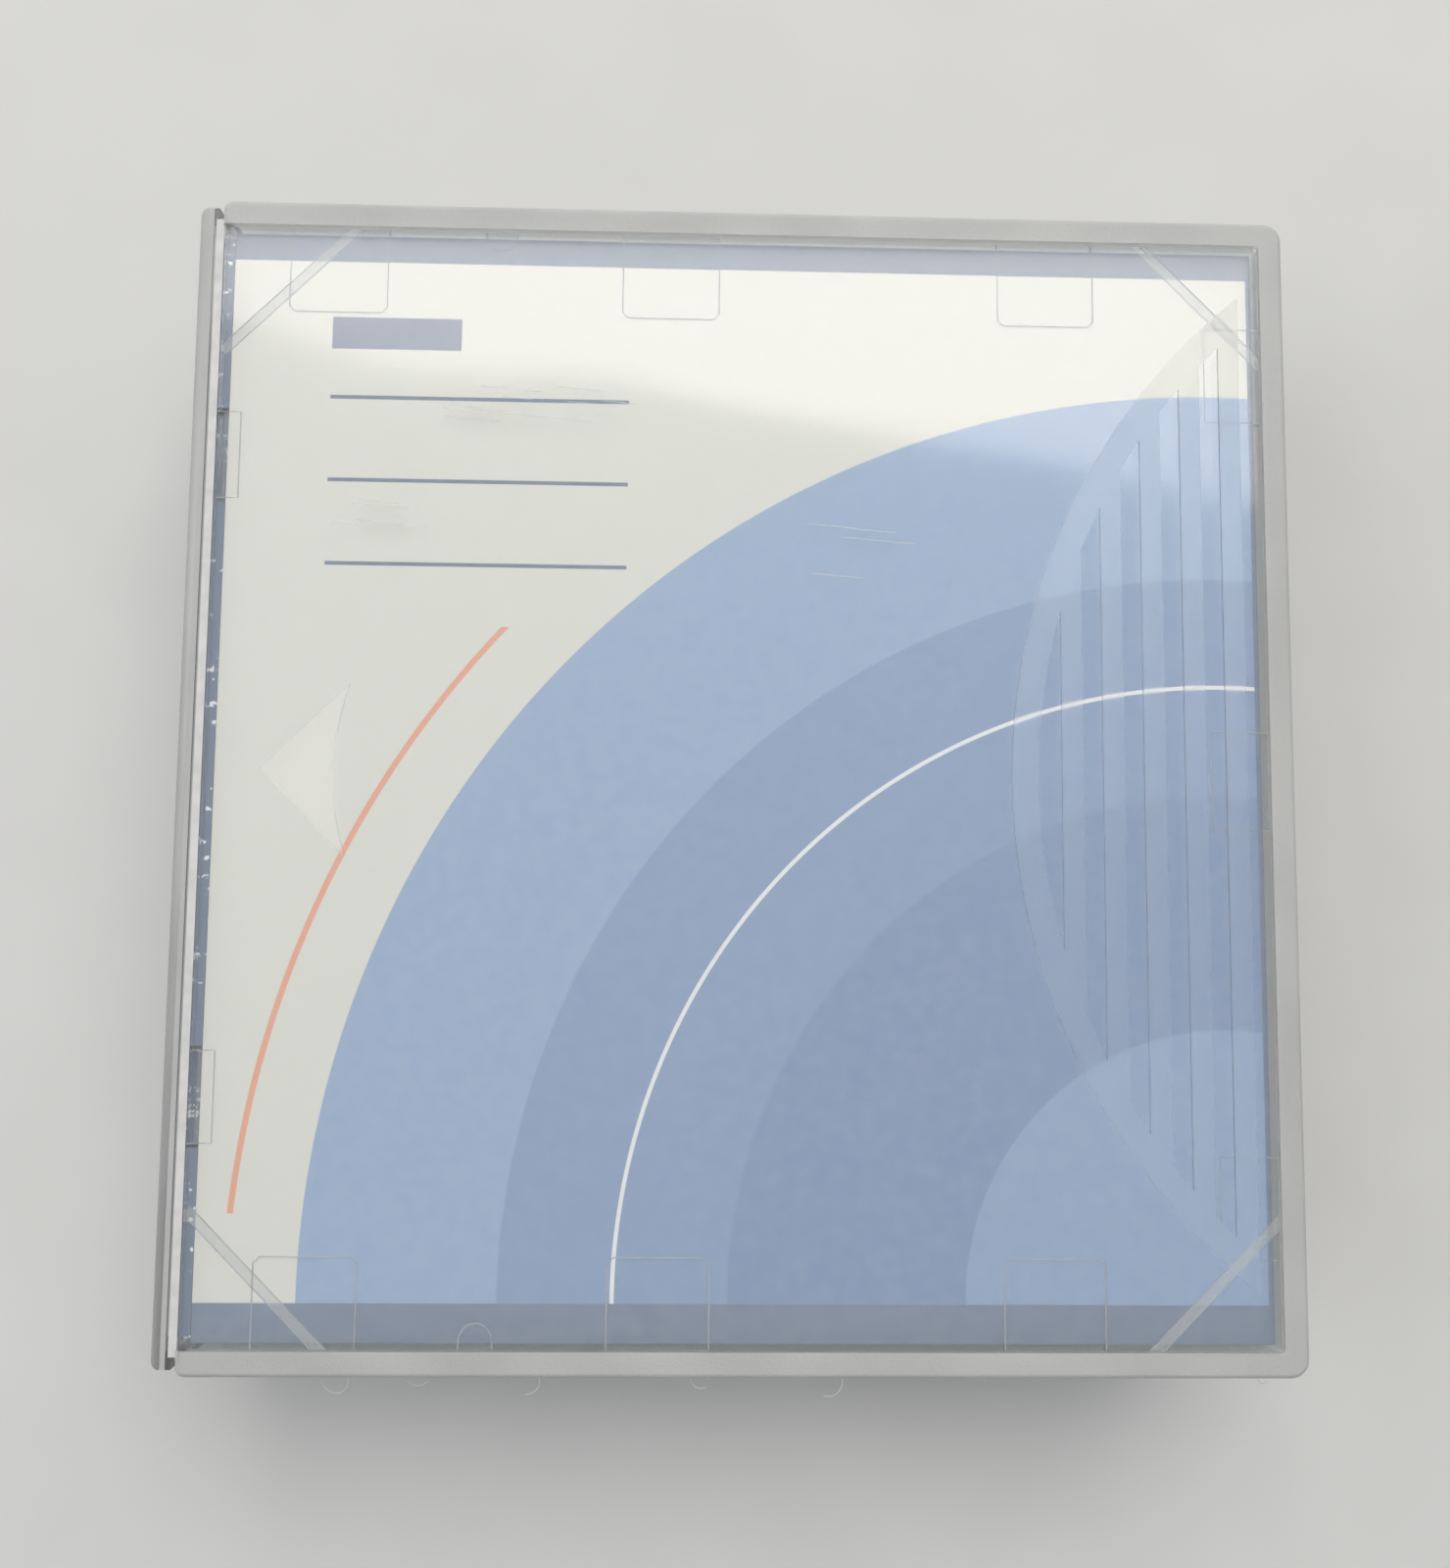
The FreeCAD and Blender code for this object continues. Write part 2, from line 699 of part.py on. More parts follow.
def clip_post():
    """Upright rib that the pin clip's tail is fixed to."""
    end = clip_end()
    return box(f"{end} - post_thick", f"{PIN_Y} - clip_thick - clip_post_half", end,
               f"{PIN_Y} + clip_post_half")


def cut_gripper_notches(body, low, high):
    """Notches in both flanks, near the label end, that a library's picker holds."""
    notch = box(f"{REAR} - notch_place - notch_long", low, f"{REAR} - notch_place", high)
    extrude(body, [notch], f"{FLANK} - notch_deep", FLANK, plane="XZ_Plane", cut=True)
    extrude(body, [notch], f"-{FLANK}", f"-{FLANK} + notch_deep", plane="XZ_Plane", cut=True)


def label_recess(body, low, high):
    extrude(body, [box("label_left", low, "label_right", high)], f"{REAR} - label_sink", REAR,
            plane="YZ_Plane", cut=True)


def diagonal_box(x, y, half_long, low, high):
    """Rectangle in plan, its length square to the line from the corner to the reel."""
    turn = "sqrt(0.5)"
    corners = [(f"-{half_long}", low), (half_long, low), (half_long, high),
               (f"-{half_long}", high)]
    return [(f"{x} + ({along} + {across}) * {turn}", f"{y} + ({along} - {across}) * {turn}")
            for along, across in corners]


CHIP_X = f"({REAR} - chip_place)"
CHIP_Y = f"(chip_place - {FLANK})"
SLOT_LOW = f"({SHELL_FLOOR} + slider_raise)"
SLOT_HIGH = f"({SLOT_LOW} + slider_tall + 2 * slider_fit)"
SPRING_Z = f"({SEAM} - door_spring_drop)"
SPRING_STOP = f"({DOOR_END} + door_spring_long + 2 * seam_gap)"


def cartridge_lower_shell():
    top = f"({SEAM} - seam_gap / 2)"
    body = hollow_shell("cartridge_lower_shell", BED, top, BED, SHELL_FLOOR, top)
    extrude(body, [circle(x, y, "screw_bore") for x, y in screw_places()], BED, top, cut=True)
    heads = [circle(x, y, "(screw_head + slider_fit)") for x, y in screw_places()]
    extrude(body, heads, BED, f"{BED} + screw_sink + screw_head_tall", cut=True)
    extrude(body, [circle(REEL_X, "0", "hub_opening")], BED, SHELL_FLOOR, cut=True)
    cut_door_window(body, f"{BED} + window_rim", top)
    add_rail(body, SHELL_FLOOR, f"{SHELL_FLOOR} + rail_stand")
    extrude(body, [clip_post()], SHELL_FLOOR, f"{SHELL_FLOOR} + clip_raise + clip_wide")

    stop = box(SPRING_STOP, f"-({INNER_FLANK} + seam_gap)", f"{SPRING_STOP} + post_thick",
               f"-({INNER_FLANK} - 2 * door_spring_radius)")
    extrude(body, [stop], SHELL_FLOOR, top)

    for side in ("(-chip_thick / 2 - clip_fit - rail_thick)", "(chip_thick / 2 + clip_fit)"):
        rib = diagonal_box(CHIP_X, CHIP_Y, "(chip_long / 2)", side, f"({side} + rail_thick)")
        extrude(body, [rib], SHELL_FLOOR, f"{SHELL_FLOOR} + chip_tall / 2")

    slot = box("slider_place - slider_wide / 2 - slider_fit", SLOT_LOW,
               "slider_place + slider_wide / 2 + slider_fit + slider_travel", SLOT_HIGH)
    extrude(body, [slot], f"{REAR} - shell_wall", REAR, plane="YZ_Plane", cut=True)
    label_recess(body, f"{SEAM} - label_tall / 2", top)
    cut_gripper_notches(body, f"{SEAM} - notch_tall / 2", top)
    return body


def cartridge_upper_shell():
    bottom = f"({SEAM} + seam_gap / 2)"
    body = hollow_shell("cartridge_upper_shell", bottom, CARTRIDGE_TOP, CARTRIDGE_TOP,
                        bottom, SHELL_CEILING)
    extrude(body, [circle(x, y, "screw_bore") for x, y in screw_places()],
            bottom, f"{BED} + screw_long + screw_spare", cut=True)
    cut_door_window(body, bottom, f"{CARTRIDGE_TOP} - window_rim")
    add_rail(body, f"{SHELL_CEILING} - rail_stand", SHELL_CEILING)
    extrude(body, [clip_post()], f"{SHELL_CEILING} - clip_raise - clip_wide", SHELL_CEILING)
    half = "key_wide / 2"
    key = box(f"{REEL_X} - {half}", f"-{half}", f"{REEL_X} + {half}", half)
    extrude(body, [key], f"{BUTTON_TOP} + key_room", SHELL_CEILING)

    sunk = f"{CARTRIDGE_TOP} - grip_sink"
    extrude(body, [arrow_outline()], sunk, CARTRIDGE_TOP, cut=True)
    extrude(body, [grip_gap(number) for number in range(4)], sunk, CARTRIDGE_TOP, cut=True)
    label_recess(body, bottom, f"{SEAM} + label_tall / 2")
    cut_gripper_notches(body, bottom, f"{SEAM} + notch_tall / 2")
    return body


# ---------------------------------------------------------------- door and leader pin
def access_door():
    body = new_body("access_door")
    plate = box(DOOR_START, f"{SHELL_FLOOR} + door_fit", DOOR_END, f"{SHELL_CEILING} - door_fit")
    extrude(body, [plate], DOOR_IN, DOOR_OUT, plane="XZ_Plane")
    front = f"({DOOR_START} + window_margin + door_fit)"
    hook = box(front, f"{SEAM} - hook_tall / 2", f"{front} + hook_long", f"{SEAM} + hook_tall / 2")
    extrude(body, [hook], DOOR_OUT, f"{DOOR_OUT} + hook_stand", plane="XZ_Plane")
    return body


def coil(name, foot, along, turns, radius, wire, long):
    """Flat-sided wire wound round Z, or round X, from its foot (x, y, z)."""
    helix = doc.addObject("Part::Helix", name + "_line")
    helix.setExpression("Radius", cell(radius))
    helix.setExpression("Height", cell(f"{long} - {wire}"))
    helix.setExpression("Pitch", cell(f"({long} - {wire}) / {turns}"))
    section = doc.addObject("Part::RegularPolygon", name + "_wire")
    section.Polygon = 4
    section.setExpression("Circumradius", cell(f"{wire} / 2"))
    section.Placement = FreeCAD.Placement(Vector(value(radius), 0, 0),
                                          FreeCAD.Rotation(Vector(1, 0, 0), 90))
    spring = doc.addObject("Part::Sweep", name)
    spring.Sections = [section]
    spring.Spine = (helix, [])
    spring.Solid = True
    spring.Frenet = True
    turn = FreeCAD.Rotation(Vector(0, 1, 0), 90 if along == "x" else 0)
    spring.Placement = FreeCAD.Placement(Vector(0, 0, 0), turn)
    for axis, place in zip("xyz", foot):
        lift = f" + {wire} / 2" if axis == along else ""
        spring.setExpression(f"Placement.Base.{axis}", cell(place + lift))
    spring.Label = name
    return spring


def door_spring():
    foot = (f"({DOOR_END} + seam_gap)",
            f"-({INNER_FLANK} - door_spring_radius - seam_gap * 4)", SPRING_Z)
    return coil("door_spring", foot, "x", "door_spring_turns", "door_spring_radius",
                "door_spring_wire", "door_spring_long")


def leader_pin():
    body = new_body("leader_pin")
    foot, head = f"({SHELL_FLOOR} + seam_gap)", f"({SHELL_CEILING} - seam_gap)"
    revolve(body, [("0", foot), ("pin_head_radius", foot),
                   ("pin_head_radius", f"{foot} + pin_head_thick"),
                   ("pin_radius", f"{foot} + pin_head_thick"),
                   ("pin_radius", f"{head} - pin_head_thick"),
                   ("pin_head_radius", f"{head} - pin_head_thick"),
                   ("pin_head_radius", head), ("0", head)])
    place_at(body, PIN_X, PIN_Y)
    return body


def place_at(thing, x, y="0", turn=None):
    thing.setExpression("Placement.Base.x", cell(x))
    thing.setExpression("Placement.Base.y", cell(y))
    if turn:
        thing.Placement.Rotation = FreeCAD.Rotation(Vector(0, 0, 1), value(turn))
    doc.recompute()


def pin_clip(name, low):
    """Leaf spring that hugs one end of the pin and lets it out on the door side."""
    body = new_body(name)
    inner, outer = "(pin_radius + clip_fit)", "(pin_radius + clip_fit + clip_thick)"
    high = f"({low}) + clip_wide"
    extrude(body, [circle(PIN_X, PIN_Y, outer), circle(PIN_X, PIN_Y, inner)], low, high)
    mouth = box(f"{PIN_X} - 2 * {outer}", f"{PIN_Y} - 2 * {outer}", f"{PIN_X} + 2 * {outer}",
                PIN_Y)
    extrude(body, [mouth], low, high, cut=True)
    tail = box(clip_end(), f"{PIN_Y} - clip_thick", f"{PIN_X} - {inner}", PIN_Y)
    extrude(body, [tail], low, high)
    return body


def lower_pin_clip():
    return pin_clip("lower_pin_clip", f"{SHELL_FLOOR} + clip_raise")


def upper_pin_clip():
    return pin_clip("upper_pin_clip", f"{SHELL_CEILING} - clip_raise - clip_wide")


def tape_clip():
    """Split sleeve that pinches the end of the tape on the pin."""
    body = new_body("tape_clip")
    ring = [circle("0", "0", "tape_clip_radius"), circle("0", "0", "(pin_radius + clip_fit)")]
    low, high = f"{SEAM} - tape_clip_tall / 2", f"{SEAM} + tape_clip_tall / 2"
    extrude(body, ring, low, high)
    extrude(body, [box("0", "-clip_thick", "2 * tape_clip_radius", "clip_thick")],
            low, high, cut=True)
    place_at(body, PIN_X, PIN_Y)
    return body


def leader_tape():
    """Straight run of tape from the pin, meeting the pack at a tangent."""
    radius = value("tape_radius + leader_gap")
    pin = Vector(value(PIN_X), value(PIN_Y), 0)
    reel = Vector(value(REEL_X), 0, 0)
    away = pin - reel
    angle = math.atan2(away.y, away.x) - math.acos(radius / away.Length)
    touch = reel + Vector(math.cos(angle), math.sin(angle), 0) * radius
    way = (touch - pin).normalize()
    start = pin + way * value("tape_clip_radius + clip_fit")
    tape = doc.addObject("Part::Box", "leader_tape")
    tape.Length = (touch - start).Length
    tape.setExpression("Width", cell("leader_thick"))
    tape.setExpression("Height", cell("tape_width"))
    turn = math.degrees(math.atan2(way.y, way.x))
    start.z = value(f"{PACK_FLOOR} + (flange_gap - tape_width) / 2")
    tape.Placement = FreeCAD.Placement(start, FreeCAD.Rotation(Vector(0, 0, 1), turn))
    return tape


# ---------------------------------------------------------------- reel
HALF_TOOTH = "180 / brake_teeth"
DRIVE_ROOT = f"({BED} + drive_stand + drive_tooth)"


def crown(body, inner, outer, root, tall, teeth):
    """Ring of straight radial teeth; a negative height makes them hang from the root."""
    pitch = f"(2 * pi * {inner} / {teeth})"
    foot, tip = f"({pitch} * tooth_share / 2)", f"({pitch} * tooth_tip / 2)"
    tooth = [(f"-{foot}", root), (foot, root), (tip, f"{root} + {tall}"),
             (f"-{tip}", f"{root} + {tall}")]
    first = extrude(body, [tooth], inner, outer, plane="YZ_Plane")
    ring = body.newObject("PartDesign::PolarPattern", "crown")
    ring.Originals = [first]
    ring.Axis = (origin_part(body, "Z_Axis"), [""])
    ring.Angle = 360
    ring.setExpression("Occurrences", cell(teeth))
    body.Tip = ring
    doc.recompute()


def sector(inner, outer, angle):
    side, rise = f"cos({angle} / 2)", f"sin({angle} / 2)"
    return [(f"{inner} * {side}", f"-{inner} * {rise}"),
            (f"{outer} * {side}", f"-{outer} * {rise}", outer),
            (f"{outer} * {side}", f"{outer} * {rise}"),
            (f"{inner} * {side}", f"{inner} * {rise}", f"-{inner}")]


def three_round(body, feature):
    ring = body.newObject("PartDesign::PolarPattern", "three")
    ring.Originals = [feature]
    ring.Axis = (origin_part(body, "Z_Axis"), [""])
    ring.Angle = 360
    ring.Occurrences = 3
    body.Tip = ring
    doc.recompute()


def reel_hub():
    body = new_body("reel_hub")
    seat, seat_inner = f"({SHELL_FLOOR} + seat_gap)", "(hub_opening + post_fit)"
    inside = "(hub_radius - hub_wall)"
    revolve(body, [
        ("clutch_bore", LOWER_FLANGE), ("drive_inner", LOWER_FLANGE),
        ("drive_inner", DRIVE_ROOT), ("drive_outer", DRIVE_ROOT),
        ("drive_outer", LOWER_FLANGE), (seat_inner, LOWER_FLANGE), (seat_inner, seat),
        ("hub_radius", seat), ("hub_radius", LOWER_FLANGE), ("reel_radius", LOWER_FLANGE),
        ("reel_radius", PACK_FLOOR), ("hub_radius", PACK_FLOOR), ("hub_radius", UPPER_FLANGE),
        (inside, UPPER_FLANGE), (inside, WEB_TOP), ("clutch_bore", WEB_TOP)])
    window = sector("(foot_inner - post_fit)", "(foot_outer + post_fit)", "window_angle")
    three_round(body, extrude(body, [window], LOWER_FLANGE, WEB_TOP, cut=True))
    crown(body, "drive_inner", "drive_outer", DRIVE_ROOT, "-drive_tooth", "drive_teeth")
    crown(body, "brake_inner", "brake_outer", WEB_TOP, "tooth_tall", "brake_teeth")
    place_at(body, REEL_X, turn=HALF_TOOTH)
    return body


def ring_piece(name, inner, outer, low, high, turn=None):
    body = new_body(name)
    revolve(body, [(inner, low), (outer, low), (outer, high), (inner, high)])
    place_at(body, REEL_X, turn=turn)
    return body


def reel_upper_flange():
    return ring_piece("reel_upper_flange", "(hub_radius - hub_wall)", "reel_radius",
                      UPPER_FLANGE, f"{UPPER_FLANGE} + flange_thick")


def clutch_plate():
    top = f"({LOWER_FLANGE} - clutch_fit)"
    return ring_piece("clutch_plate", "clutch_bore", "clutch_radius",
                      f"{top} - clutch_thick", top)


def tape_pack():
    low = f"({PACK_FLOOR} + (flange_gap - tape_width) / 2)"
    return ring_piece("tape_pack", "(hub_radius + clutch_fit)", "tape_radius",
                      low, f"{low} + tape_width")


# ---------------------------------------------------------------- reel brake
def brake_button():
    body = new_body("brake_button")
    boss_top = f"({BUTTON_TOP} + boss_tall)"
    revolve(body, [("0", BRAKE_ROOT), ("button_radius", BRAKE_ROOT),
                   ("button_radius", BUTTON_TOP), ("boss_radius", BUTTON_TOP),
                   ("boss_radius", boss_top), ("0", boss_top)])
    half = "(key_wide / 2 + key_fit)"
    extrude(body, [box(f"-{half}", f"-{half}", half, half)], BUTTON_TOP, boss_top, cut=True)
    crown(body, "brake_inner", "brake_outer", BRAKE_ROOT, "-tooth_tall", "brake_teeth")
    place_at(body, REEL_X)
    return body


def brake_spring():
    foot = (REEL_X, "0", f"({BUTTON_TOP} + seam_gap)")
    return coil("brake_spring", foot, "z", "spring_turns", "spring_radius", "spring_wire",
                f"({SHELL_CEILING} - {BUTTON_TOP} - 2 * seam_gap)")


def brake_release_pad():
    body = new_body("brake_release_pad")
    low, high = f"({WEB_TOP} + pad_gap)", f"({WEB_TOP} + pad_gap + pad_thick)"
    revolve(body, [("pad_inner", low), ("pad_outer", low), ("pad_outer", high),
                   ("pad_inner", high)])
    foot = extrude(body, [sector("foot_inner", "foot_outer", "foot_angle")],
                   f"{SHELL_FLOOR} + foot_raise", low)
    three_round(body, foot)
    place_at(body, REEL_X, turn=HALF_TOOTH)
    return body


# ---------------------------------------------------------------- small pieces
def write_protect_slider():
    body = new_body("write_protect_slider")
    inside = f"({REAR} - shell_wall - slider_fit)"
    plate = box("slider_place - slider_wide / 2 - slider_lap", f"{SHELL_FLOOR} + slider_fit",
                "slider_place + slider_wide / 2 + slider_travel + slider_lap",
                f"{SLOT_HIGH} + slider_lap")
    extrude(body, [plate], f"{inside} - slider_back", inside, plane="YZ_Plane")
    knob = box("slider_place - slider_wide / 2", f"{SLOT_LOW} + slider_fit",
               "slider_place + slider_wide / 2", f"{SLOT_HIGH} - slider_fit")
    extrude(body, [knob], inside, f"{REAR} - label_sink", plane="YZ_Plane")
    return body


def memory_chip():
    body = new_body("memory_chip")
    chip = diagonal_box(CHIP_X, CHIP_Y, "(chip_long / 2)", "(-chip_thick / 2)",
                        "(chip_thick / 2)")
    low = f"({SHELL_FLOOR} + seam_gap)"
    extrude(body, [chip], low, f"{low} + chip_tall")
    return body


def shell_screws():
    """Four pan-head screws, driven up from the underside."""
    screws = []
    head_low = f"({BED} + screw_sink)"
    head_high = f"({head_low} + screw_head_tall - seam_gap)"
    for number, (x, y) in enumerate(screw_places()):
        body = new_body(f"screw_{number + 1}")
        revolve(body, [("0", head_low), ("screw_head", head_low), ("screw_head", head_high),
                       ("screw_shank", head_high), ("screw_shank", f"{BED} + screw_long"),
                       ("0", f"{BED} + screw_long")])
        place_at(body, x, y)
        screws.append(body)
    group = doc.addObject("Part::Compound", "shell_screws")
    group.Links = screws
    return group


# ---------------------------------------------------------------- printed insert
def insert_front():
    body = new_body("insert_front")
    side = f"({INNER_SIDE} - card_fit)"
    sheet = box(f"{LEAF} + hook_root + card_hinge_fit", f"-{side}",
                f"{INNER_RIGHT} - card_fit", side)
    low = f"({TABS_TOP} + spine_card_fit)"
    extrude(body, [sheet], low, f"{low} + card_thick")
    return body


def insert_spine():
    body = new_body("insert_spine")
    end = f"({SIDE} - spine_inset - spine_end - card_fit)"
    low = f"{LEFT} + spine_wall + spine_card_fit"
    sheet = box(f"-{end}", f"{FLOOR} + spine_card_fit", end, f"{CEILING} - spine_card_fit")
    extrude(body, [sheet], low, f"{low} + spine_card_thick", plane="YZ_Plane")
    return body


PIECES = [case_base, case_lid, case_spine, insert_front, insert_spine,
          cartridge_lower_shell, cartridge_upper_shell, access_door, door_spring,
          leader_pin, lower_pin_clip, upper_pin_clip, tape_clip, leader_tape,
          reel_hub, reel_upper_flange, clutch_plate, tape_pack,
          brake_button, brake_spring, brake_release_pad,
          write_protect_slider, memory_chip, shell_screws]


# ---------------------------------------------------------------- build, test and write
def test_and_write(solids):
    doc.recompute()
    for thing in doc.Objects:
        if {"Invalid", "Error"} & set(thing.State):
            raise RuntimeError(f"{thing.Name} did not build: {thing.getStatusString()}")
    for solid in solids:
        if solid.Shape.isNull() or not solid.Shape.isValid():
            raise RuntimeError(f"{solid.Label} has no valid shape")
    os.makedirs("parts", exist_ok=True)
    for solid in solids:
        solid.Shape.exportStep(f"parts/{solid.Label}.step")
        room = solid.Shape.optimalBoundingBox(False)
        print(f"{solid.Label:24s}{len(solid.Shape.Solids):3d} solid  {solid.Shape.Volume:9.2f} mm3"
              f"  x {room.XMin:.2f} {room.XMax:.2f}  y {room.YMin:.2f} {room.YMax:.2f}"
              f"  z {room.ZMin:.2f} {room.ZMax:.2f}")


test_and_write([make() for make in PIECES])
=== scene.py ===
"""Looks of a half-inch data tape cartridge in its closed, hinged library case."""
import math
import random
import bmesh
import bpy
from mathutils import Matrix, Vector


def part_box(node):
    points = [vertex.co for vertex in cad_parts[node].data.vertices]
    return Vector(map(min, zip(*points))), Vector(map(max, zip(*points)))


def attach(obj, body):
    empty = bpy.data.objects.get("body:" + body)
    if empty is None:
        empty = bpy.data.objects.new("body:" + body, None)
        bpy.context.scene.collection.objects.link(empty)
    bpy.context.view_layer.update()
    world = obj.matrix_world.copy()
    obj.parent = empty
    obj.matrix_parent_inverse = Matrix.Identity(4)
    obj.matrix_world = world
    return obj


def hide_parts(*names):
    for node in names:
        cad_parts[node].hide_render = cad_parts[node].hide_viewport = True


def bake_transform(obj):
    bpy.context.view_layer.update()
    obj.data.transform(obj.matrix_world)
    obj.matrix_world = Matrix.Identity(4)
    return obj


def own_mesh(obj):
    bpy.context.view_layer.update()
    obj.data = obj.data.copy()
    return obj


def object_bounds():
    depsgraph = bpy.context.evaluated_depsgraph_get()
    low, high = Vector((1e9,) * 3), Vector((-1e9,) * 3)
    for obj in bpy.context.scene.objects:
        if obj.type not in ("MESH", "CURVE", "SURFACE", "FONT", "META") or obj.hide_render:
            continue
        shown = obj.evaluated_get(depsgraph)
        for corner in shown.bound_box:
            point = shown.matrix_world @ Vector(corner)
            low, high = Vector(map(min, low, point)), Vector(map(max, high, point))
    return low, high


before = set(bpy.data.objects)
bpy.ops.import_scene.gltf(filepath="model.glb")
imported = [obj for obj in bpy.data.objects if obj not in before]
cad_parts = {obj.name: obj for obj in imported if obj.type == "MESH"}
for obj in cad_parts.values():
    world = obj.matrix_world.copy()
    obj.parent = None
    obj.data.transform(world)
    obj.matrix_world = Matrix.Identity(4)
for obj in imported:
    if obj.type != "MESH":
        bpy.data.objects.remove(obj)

cad_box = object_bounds()
case_low, case_high = (Vector(corner) for corner in cad_box)

# ------------------------------------------------------------------ floor and camera
# The table top: a wide pale matt board with a very faint mottle, so that the case's own
# shadow and the light that comes through its edges can be read on it.


def node(tree, kind, inputs=None, **settings):
    """A node with its settings, and with inputs that are numbers or other nodes' sockets."""
    made = tree.nodes.new(kind)
    for name, setting in settings.items():
        setattr(made, name, setting)
    for key, given in (inputs or {}).items():
        if isinstance(given, bpy.types.NodeSocket):
            tree.links.new(given, made.inputs[key])
        else:
            made.inputs[key].default_value = given
    return made


def maths(tree, operation, *terms):
    return node(tree, "ShaderNodeMath", dict(enumerate(terms)), operation=operation).outputs[0]


def ramp(tree, amount, low, high):
    """0 below low and 1 above high, smooth between; low above high turns it round."""
    return node(tree, "ShaderNodeMapRange", {"Value": amount, "From Min": low, "From Max": high},
                interpolation_type="SMOOTHSTEP").outputs["Result"]


def blend_colour(tree, amount, first, second):
    mixed = node(tree, "ShaderNodeMix", {"Factor": amount}, data_type="RGBA")
    for socket, given in ((mixed.inputs[6], first), (mixed.inputs[7], second)):
        if isinstance(given, bpy.types.NodeSocket):
            tree.links.new(given, socket)
        else:
            socket.default_value = given
    return mixed.outputs[2]


def new_material(name):
    """A material with its tree, its output node and its place on the piece as X, Y, Z."""
    material = bpy.data.materials.new(name)
    material.use_nodes = True
    tree = material.node_tree
    tree.nodes.clear()
    output = tree.nodes.new("ShaderNodeOutputMaterial")
    place = tree.nodes.new("ShaderNodeTexCoord").outputs["Object"]
    return material, tree, output, place


def finish_material(tree, output, shader):
    tree.links.new(shader.outputs[0], output.inputs["Surface"])


board, tree, output, place = new_material("pale_board")
mottle = node(tree, "ShaderNodeTexNoise", {"Vector": place, "Scale": 60.0, "Detail": 1.0})
shade = blend_colour(tree, mottle.outputs["Fac"], (0.77, 0.77, 0.76, 1), (0.83, 0.83, 0.82, 1))
top = node(tree, "ShaderNodeBsdfPrincipled", {"Base Color": shade, "Roughness": 0.7})
away = node(tree, "ShaderNodeVectorMath", {0: place}, operation="LENGTH")
ray = node(tree, "ShaderNodeLightPath").outputs
looked_at = maths(tree, "MAXIMUM", ray["Is Camera Ray"],
                  maths(tree, "MAXIMUM", ray["Is Transmission Ray"], ray["Is Glossy Ray"]))
far_off = maths(tree, "MULTIPLY", ramp(tree, away.outputs["Value"], 0.18, 0.9), looked_at)
haze = node(tree, "ShaderNodeEmission", {"Color": (0.74, 0.745, 0.745, 1)})
finish_material(tree, output, node(tree, "ShaderNodeMixShader",
                                   {0: far_off, 1: top.outputs[0], 2: haze.outputs[0]}))
sheet = bmesh.new()
bmesh.ops.create_grid(sheet, x_segments=1, y_segments=1, size=3.0)
bmesh.ops.translate(sheet, verts=sheet.verts, vec=(0, 0, -0.0002))
board.cycles.emission_sampling = "NONE"  # the haze is only looked at, it lights nothing
floor_mesh = bpy.data.meshes.new("floor")
sheet.to_mesh(floor_mesh)
sheet.free()
floor = bpy.data.objects.new("floor", floor_mesh)
floor_mesh.materials.append(board)
bpy.context.scene.collection.objects.link(floor)

camera_data = bpy.data.cameras.new("camera")
camera_data.lens, camera_data.sensor_width, camera_data.sensor_fit = 36.05, 36.0, "HORIZONTAL"
camera_data.clip_start = 0.01
camera = bpy.data.objects.new("camera", camera_data)
camera.location = (-0.00524, -0.01399, 0.16821)
camera.rotation_euler = (math.radians(5.233), math.radians(-1.617), math.radians(0.557))
bpy.context.scene.collection.objects.link(camera)
bpy.context.scene.camera = camera


# ------------------------------------------------------------------ light
# A large soft lamp beyond the far edge, whose reflection lies on that end of the lid, a
# weaker one from the left for the spine, and an even pale surround.
def soft_lamp(name, place, aim, wide, tall, power, colour):
    lamp = bpy.data.lights.new(name, "AREA")
    lamp.shape, lamp.size, lamp.size_y = "RECTANGLE", wide, tall
    lamp.energy, lamp.color = power, colour
    holder = bpy.data.objects.new(name, lamp)
    holder.location = place
    holder.rotation_euler = (Vector(aim) - Vector(place)).to_track_quat("-Z", "Y").to_euler()
    bpy.context.scene.collection.objects.link(holder)


soft_lamp("far_lamp", (0.12, 0.81, 1.0), (0, 0, 0), 1.2, 0.87, 9.4, (1.0, 0.97, 0.93))
soft_lamp("left_lamp", (-0.9, 0.1, 0.7), (0, 0, 0), 0.5, 0.9, 2.4, (0.95, 0.98, 1.0))

world = bpy.data.worlds.new("surround")
bpy.context.scene.world = world
world.use_nodes = True
tree = world.node_tree
tree.nodes.clear()
seen = node(tree, "ShaderNodeLightPath")
straight = maths(tree, "MAXIMUM", seen.outputs["Is Camera Ray"],
                 seen.outputs["Is Transmission Ray"])
light_amount = maths(tree, "MULTIPLY_ADD", straight, 0.405, 0.36)
around = node(tree, "ShaderNodeBackground",
              {"Color": (0.965, 0.975, 0.98, 1), "Strength": light_amount})
tree.links.new(around.outputs[0], node(tree, "ShaderNodeOutputWorld").inputs["Surface"])
bpy.context.scene.view_settings.view_transform = "Standard"

# Enough bounces for the light that passes through the lid to the sheet and back.
paths = bpy.context.scene.cycles
paths.max_bounces, paths.transmission_bounces = 6, 6
paths.diffuse_bounces, paths.glossy_bounces = 1, 2

# ------------------------------------------------------------------ library case
# Base, spine and lid are one clear, slightly milky polypropylene moulding that folds along
# two film hinges.  Panels are polished; the stacking rim, the spine's edge and the raised
# marks on the lid are spark-eroded to a fine matt.
rim_stand, half_film_gap, film_half = 0.0008, 0.00003, 0.0003
panel_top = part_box("case_lid")[1][2] - rim_stand
hinge_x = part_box("case_spine")[1][0] + half_film_gap


